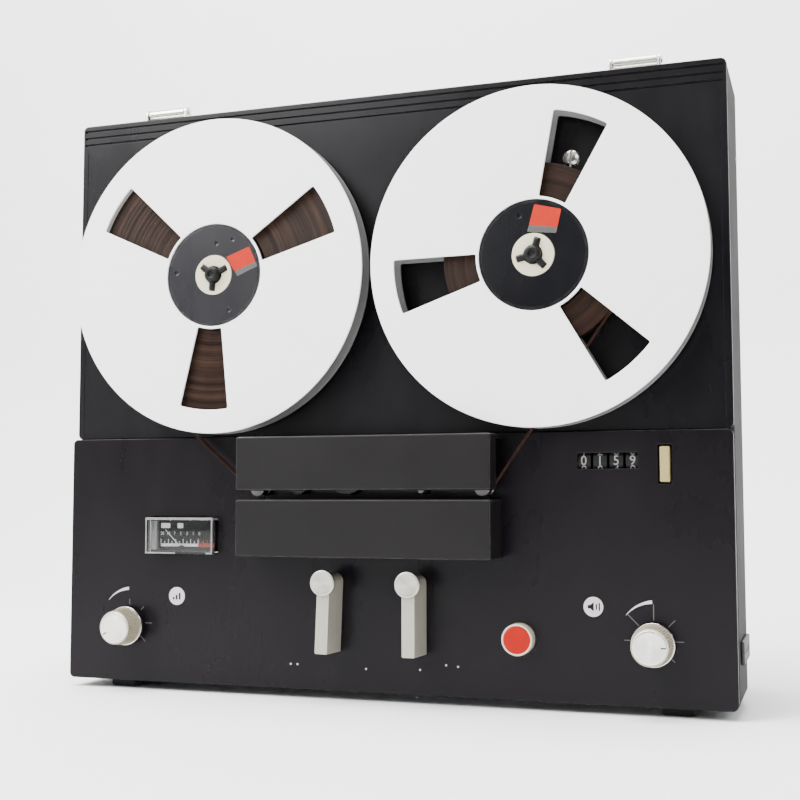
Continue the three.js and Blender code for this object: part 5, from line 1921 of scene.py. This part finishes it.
@dataclass
class PanelPrint:
    """The plain marks printed on the lower front: ticks, swelling arcs and symbols.

    Attributes:
        knob_ticks: Ticks round each knob, as (direction, reach from the middle).
    """

    tick_width: float = 0.4
    tick_start: float = 10.2
    dial_drop: float = 1.5
    knob_ticks: dict[str, tuple[Point, ...]] = field(default_factory=lambda: {
        "left": ((90, 13.4), (45, 13.0), (0, 14.6), (-45, 14.8)),
        "right": ((180, 14.8), (135, 18.2), (90, 18.2), (45, 14.8), (0, 14.7), (-45, 14.3))})
    lever_dots: tuple[Point, ...] = ((-48.4, 18.4), (-44.4, 18.4), (-4.5, 17.5), (25.9, 18.3), (40.3, 21.3),
                                     (46.8, 20.8))
    symbol_radius: float = 5.0
    symbol_places: dict[str, Point] = field(default_factory=lambda: {
        "left": (-118.9, 53.4), "right": (118.2, 53.8)})

    def build(self) -> None:
        """Makes every printed mark."""
        self.face = box_mm("control_panel")[0].y
        marks, ticks = Form(), Form()
        for side in SIDES:
            marks.add(self.swelling_arc(side))
            ticks.add(self.dial_ticks(side))
        for x, z in self.lever_dots:
            marks.add(self.ink(rectangle(x - 0.5, x + 0.5, z - 0.5, z + 0.5, 0.2)))
        settle(marks.piece("panel_marks"), "cabinet", WHITE_INK, "cream_plastic")
        settle(ticks.piece("panel_ticks"), "cabinet", DIM_INK, "cream_plastic")
        self.build_symbols()

    def ink(self, outline: Outline, holes: Sequence[Outline] = (), lift: float = 0) -> Form:
        """Prints one flat shape on the panel."""
        return plate(outline, self.face - INK - lift, self.face - lift + 0.01, 0, holes)

    def dial_centre(self, side: str) -> Point:
        """Gives the middle of a knob's ticks."""
        place = joint_place_mm(f"{side}_knob_turn")
        return place.x, place.z + self.dial_drop

    def dial_ticks(self, side: str) -> Form:
        """Prints the ticks round a knob."""
        cx, cz = self.dial_centre(side)
        ticks = Form()
        for angle, reach in self.knob_ticks[side]:
            tick = self.ink(rectangle(self.tick_start, reach, -self.tick_width / 2, self.tick_width / 2))
            ticks.add(tick.turned_by(angle, Vector((0, 0, 0))).moved(cx, 0, cz))
        return ticks

    def swelling_arc(self, side: str) -> Form:
        """Prints the arc above a knob, which grows from a point to its full width."""
        cx, cz = self.dial_centre(side)
        start, end = (138, 92)
        steps = 18
        radius, widest = 18.4, 1.6
        inner: Outline = []
        outer: Outline = []
        for k in range(steps + 1):
            angle = math.radians(start + (end - start) * k / steps)
            width = 0.15 + widest * k / steps
            inner.append((cx + radius * math.cos(angle), cz + radius * math.sin(angle)))
            outer.append((cx + (radius + width) * math.cos(angle), cz + (radius + width) * math.sin(angle)))
        return self.ink(inner + outer[::-1])

    def build_symbols(self) -> None:
        """Prints a plain disc beside each knob, with three rising bars or a loudspeaker left clear in it."""
        discs = Form()
        for side in SIDES:
            x, z = self.symbol_places[side]
            if side == "left":
                holes = [rectangle(x - 2.6 + 1.9 * k, x - 1.4 + 1.9 * k, z - 2,
                                   z - 0.6 + 1.2 * k) for k in range(3)]
            else:
                horn = [(-2.9, -0.9), (-1.6, -0.9), (0.2, -2.4), (0.2, 2.4), (-1.6, 0.9), (-2.9, 0.9)]
                holes = [[(x + a, z + b) for a, b in horn], rectangle(x + 1.2, x + 1.9, z - 1.4, z + 1.4),
                         rectangle(x + 2.7, x + 3.4, z - 2, z + 2)]
            discs.add(self.ink(circle(x, z, self.symbol_radius, 48), holes))
        settle(discs.piece("panel_symbols"), "cabinet", WHITE_INK, "cream_plastic")


# ---------------------------------------------------------------- rear fittings


@dataclass
class RearFittings:
    """The socket plate and the mains inlet in the rear tub."""

    socket_count: int = 4
    socket_pitch: float = 22.0

    def build(self) -> None:
        """Makes both fittings."""
        self.build_sockets()
        self.build_inlet()

    def build_sockets(self) -> None:
        """Makes the plate with its round five-hole sockets and its screws."""
        low, high = box_mm("socket_plate")
        middle = (low + high) / 2
        back = low.y + 6
        base = block((low.x, low.y, low.z), (high.x, back, high.z), 0.5)
        shells, cutters, screws = Form(), [], Form()
        for k in range(self.socket_count):
            x = middle.x + (k - (self.socket_count - 1) / 2) * self.socket_pitch
            cutters.append(turned([(0, back - 3), (7.2, back - 3), (7.2, back + 3), (0, back + 3)],
                                  (x, 0, middle.z), 48))
            section = ring_section([(6.7, back - 3.4), (8.5, back - 3.4), (8.5, high.y), (6.7, high.y)],
                                   0.35)
            shells.add(turned(section, (x, 0, middle.z), 64))
            core = turned([(0, back - 3.2), (6.6, back - 3.2), (6.6, back - 0.6), (6.3, back - 0.3),
                           (0, back - 0.3)],
                          (x, 0, middle.z), 48)
            pins = [turned([(0, back - 2.2), (0.75, back - 2.2), (0.75, back + 1), (0, back + 1)],
                           (x + 4.2 * math.cos(math.radians(a)), 0,
                            middle.z + 4.2 * math.sin(math.radians(a))), 20)
                    for a in (0, 45, 90, 135, 180)]
            shells.add(core.carved(*pins))
        base.carved(*cutters)
        for x in (low.x + 4, high.x - 4):
            head = turned(rounded([(0, back + 1.1), (1.8, back + 0.9), (2.4, back - 0.2), (0, back - 0.2)],
                                  0.4, 3, closed=False), (x, 0, middle.z), 32)
            screws.add(head.carved(block((x - 3, back + 0.5, middle.z - 0.3),
                                         (x + 3, back + 2, middle.z + 0.3), 0)))
        settle(base.piece("socket_base"), "cabinet", DARK_TRIM, "black_plastic", "socket_plate")
        settle(shells.piece("socket_shells"), "cabinet", PLATED_STEEL, "steel")
        settle(screws.piece("socket_screws"), "cabinet", BRIGHT_NICKEL, "bright_metal")

    def build_inlet(self) -> None:
        """Makes the mains inlet: a well with two flat-ended pins."""
        low, high = box_mm("power_inlet")
        middle = (low + high) / 2
        well = block(low, high, 0.6)
        hollow = plate(rectangle(middle.x - 10, middle.x + 10, middle.z - 6, middle.z + 6, 2.5, 6),
                       high.y - 15, high.y + 1, 0)
        well.carved(hollow)
        settle(well.piece("inlet_well"), "cabinet", DARK_TRIM, "black_plastic", "power_inlet")
        pins = Form()
        for offset in (-4.5, 4.5):
            profile = rounded([(0, high.y - 15.5), (1.3, high.y - 15.5), (1.3, high.y - 6), (0, high.y - 6)],
                              0.5, 3, closed=False)
            pins.add(turned(profile, (middle.x + offset, 0, middle.z), 32))
        settle(pins.piece("inlet_pins"), "cabinet", BRIGHT_NICKEL, "bright_metal")


# ---------------------------------------------------------------- inner parts


@dataclass(frozen=True)
class InnerParts:
    """The frame nodes that keep their own shape, each with its finish."""

    finishes: tuple[tuple[str, Finish], ...] = (
        ("amplifier_board", BOARD),
        ("capstan_bearing", BRASS),
        # The capstan shaft takes the same darkened steel: painted shade.
        ("capstan_shaft", GUIDE_STEEL_SHADED),
        ("chassis_plate", SHADED_STEEL),
        ("counter_frame", PLATED_STEEL),
        ("drive_belt", SOFT_RUBBER),
        ("erase_head", SHADED_STEEL),
        ("flywheel", PLATED_STEEL),
        ("head_base", SHADED_STEEL),
        ("left_potentiometer", PLATED_STEEL),
        ("right_potentiometer", PLATED_STEEL),
        ("motor", PLATED_STEEL),
        ("motor_pulley", BRASS),
        ("pinch_arm", SHADED_STEEL),
        ("record_play_head", SHADED_STEEL),
        ("record_switch", DARK_TRIM),
        ("transformer", PLATED_STEEL),
    )

    def dress(self) -> None:
        """Gives each node its finish."""
        for node, finish in self.finishes:
            piece = frame["nodes"][node]
            for slot in piece.material_slots:
                slot.material = finish.material()
            LOG.info("%s keeps its shape, in %s", node, finish.name)


# ---------------------------------------------------------------- studio


@dataclass
class Studio:
    """The pale floor with its sweep, the soft lights and the camera."""

    camera_place: tuple[float, float, float] = (0.2346, -0.6913, 0.1109)
    camera_yaw: float = 0.3305
    camera_pitch: float = 0.0744
    camera_roll: float = -0.0013
    lens: float = 56.7
    sweep_back: float = 0.55
    sweep_radius: float = 0.35
    bright_side: tuple[float, float, float] = (-0.65, -0.25, 0.72)
    glow_edges: tuple[float, float] = (0.5, 0.8)
    dim: float = 0.1
    bright: float = 2.6

    def build(self) -> None:
        """Makes the sweep, the lights and the camera."""
        self.build_sweep()
        self.build_world()
        self.build_lights()
        self.build_camera()

    def build_sweep(self) -> None:
        """Makes a floor that curves up into the backdrop."""
        steps = 16
        profile = [(-3.0, 0.0), (self.sweep_back, 0.0)]
        for k in range(1, steps + 1):
            angle = math.pi / 2 * k / steps
            profile.append((self.sweep_back + self.sweep_radius * math.sin(angle),
                            self.sweep_radius * (1 - math.cos(angle))))
        profile.append((self.sweep_back + self.sweep_radius, 3.0))
        sheet = bmesh.new()
        rows = [[sheet.verts.new((x, y, z)) for y, z in profile] for x in (-4.0, 4.0)]
        for (a, b), (c, d) in zip(pairwise(rows[0]), pairwise(rows[1])):
            sheet.faces.new((a, b, d, c))
        mesh = bpy.data.meshes.new("sweep")
        bmesh.ops.recalc_face_normals(sheet, faces=sheet.faces)
        sheet.to_mesh(mesh)
        sheet.free()
        mesh.polygons.foreach_set("use_smooth", [True] * len(mesh.polygons))
        sweep = bpy.data.objects.new("sweep", mesh)
        bpy.context.scene.collection.objects.link(sweep)
        paper = Lacquer("studio_paper", (0.88, 0.88, 0.88), 0.7, dust=0.0, wear=0.0, gloss=0.2, patchy=0.02)
        mesh.materials.append(paper.material())

    def build_world(self) -> None:
        """Lights the surroundings: brightest towards the upper left, and dim everywhere else."""
        world = bpy.data.worlds.new("studio")
        world.use_nodes = True
        background = world.node_tree.nodes["Background"]
        background.inputs["Color"].default_value = (0.98, 0.985, 1.0, 1)
        sheet = Sheet(world.node_tree)
        heading = sheet.node("TexCoord").outputs["Generated"]
        towards = sheet.vector_maths("DOT_PRODUCT", heading, tuple(Vector(self.bright_side).normalized()))
        glow = sheet.mapped(towards.outputs["Value"], *self.glow_edges, self.dim, self.bright)
        sheet.feed(background.inputs["Strength"], glow)
        bpy.context.scene.world = world

    def build_lights(self) -> None:
        """Hangs the soft lamps."""
        target = (0, 0, 0.17)
        lamps = (
            ("key_lamp", (-0.8, -0.95, 1.2), target, 0.9, 46.0),
            ("fill_lamp", (1.4, -1.6, 1.3), target, 1.0, 22.0),
            ("side_lamp", (2.0, 0.4, 0.9), target, 0.9, 7.0),
            ("backdrop_lamp", (-0.2, -0.1, 2.0), (-0.3, 0.9, 0.3), 1.4, 95.0),
        )
        for name, place, spot, size, power in lamps:
            light = bpy.data.lights.new(name, "AREA")
            light.shape = "SQUARE"
            light.size = size
            light.energy = power
            lamp = bpy.data.objects.new(name, light)
            lamp.location = place
            aim = Vector(spot) - Vector(place)
            lamp.rotation_euler = aim.to_track_quat("-Z", "Y").to_euler()
            bpy.context.scene.collection.objects.link(lamp)

    def build_camera(self) -> None:
        """Sets the camera where the deck is seen from."""
        camera = bpy.data.cameras.new("camera")
        camera.lens = self.lens
        camera.sensor_width = 36.0
        camera.clip_start = 0.01
        holder = bpy.data.objects.new("camera", camera)
        turn = Euler((math.pi / 2 + self.camera_pitch, 0, self.camera_yaw), "XYZ").to_matrix().to_4x4()
        roll = Matrix.Rotation(self.camera_roll, 4, "Z")
        holder.matrix_world = Matrix.Translation(self.camera_place) @ turn @ roll
        bpy.context.scene.collection.objects.link(holder)
        bpy.context.scene.camera = holder


# ---------------------------------------------------------------- assembly


def clear_start_scene() -> None:
    """Removes the objects that a new file holds, which aren't part of the frame."""
    kept = {*frame["nodes"].values(), *frame["bodies"].values()}
    for piece in list(bpy.data.objects):
        if piece not in kept:
            bpy.data.objects.remove(piece)


def main() -> None:
    """Builds the deck's sub-assemblies in order."""
    logging.basicConfig(level=logging.INFO, format="%(name)s: %(message)s")
    clear_start_scene()
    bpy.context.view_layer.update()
    Cabinet().build()
    Reel("left", 26, 25, ((12.4, 50.5), (26.5, 33.9), (27.3, 7.2), (15.0, -5.7)),
         ((18, 84), (22.8, 59), (23.1, 174), (22.5, 296)), (0.033, 0.018, 0.0115), HUB_SLATE).build()
    Reel("right", 70, 73, ((26.2, 88), (27.2, 56.5), (16.0, 40.4), (12.4, 103.5)), ((21.9, 109),),
         (0.022, 0.0095, 0.0055), HUB_BLACK).build()
    TapePath().build()
    TransportLever("left", -2.2).build()
    TransportLever("right", 0.0).build()
    Knob("left", 210).build()
    Knob("right", 0).build()
    RecordButton().build()
    Counter().build()
    LevelMeter().build()
    PanelPrint().build()
    RearFittings().build()
    InnerParts().dress()
    Studio().build()


if __name__ == "__main__":
    main()
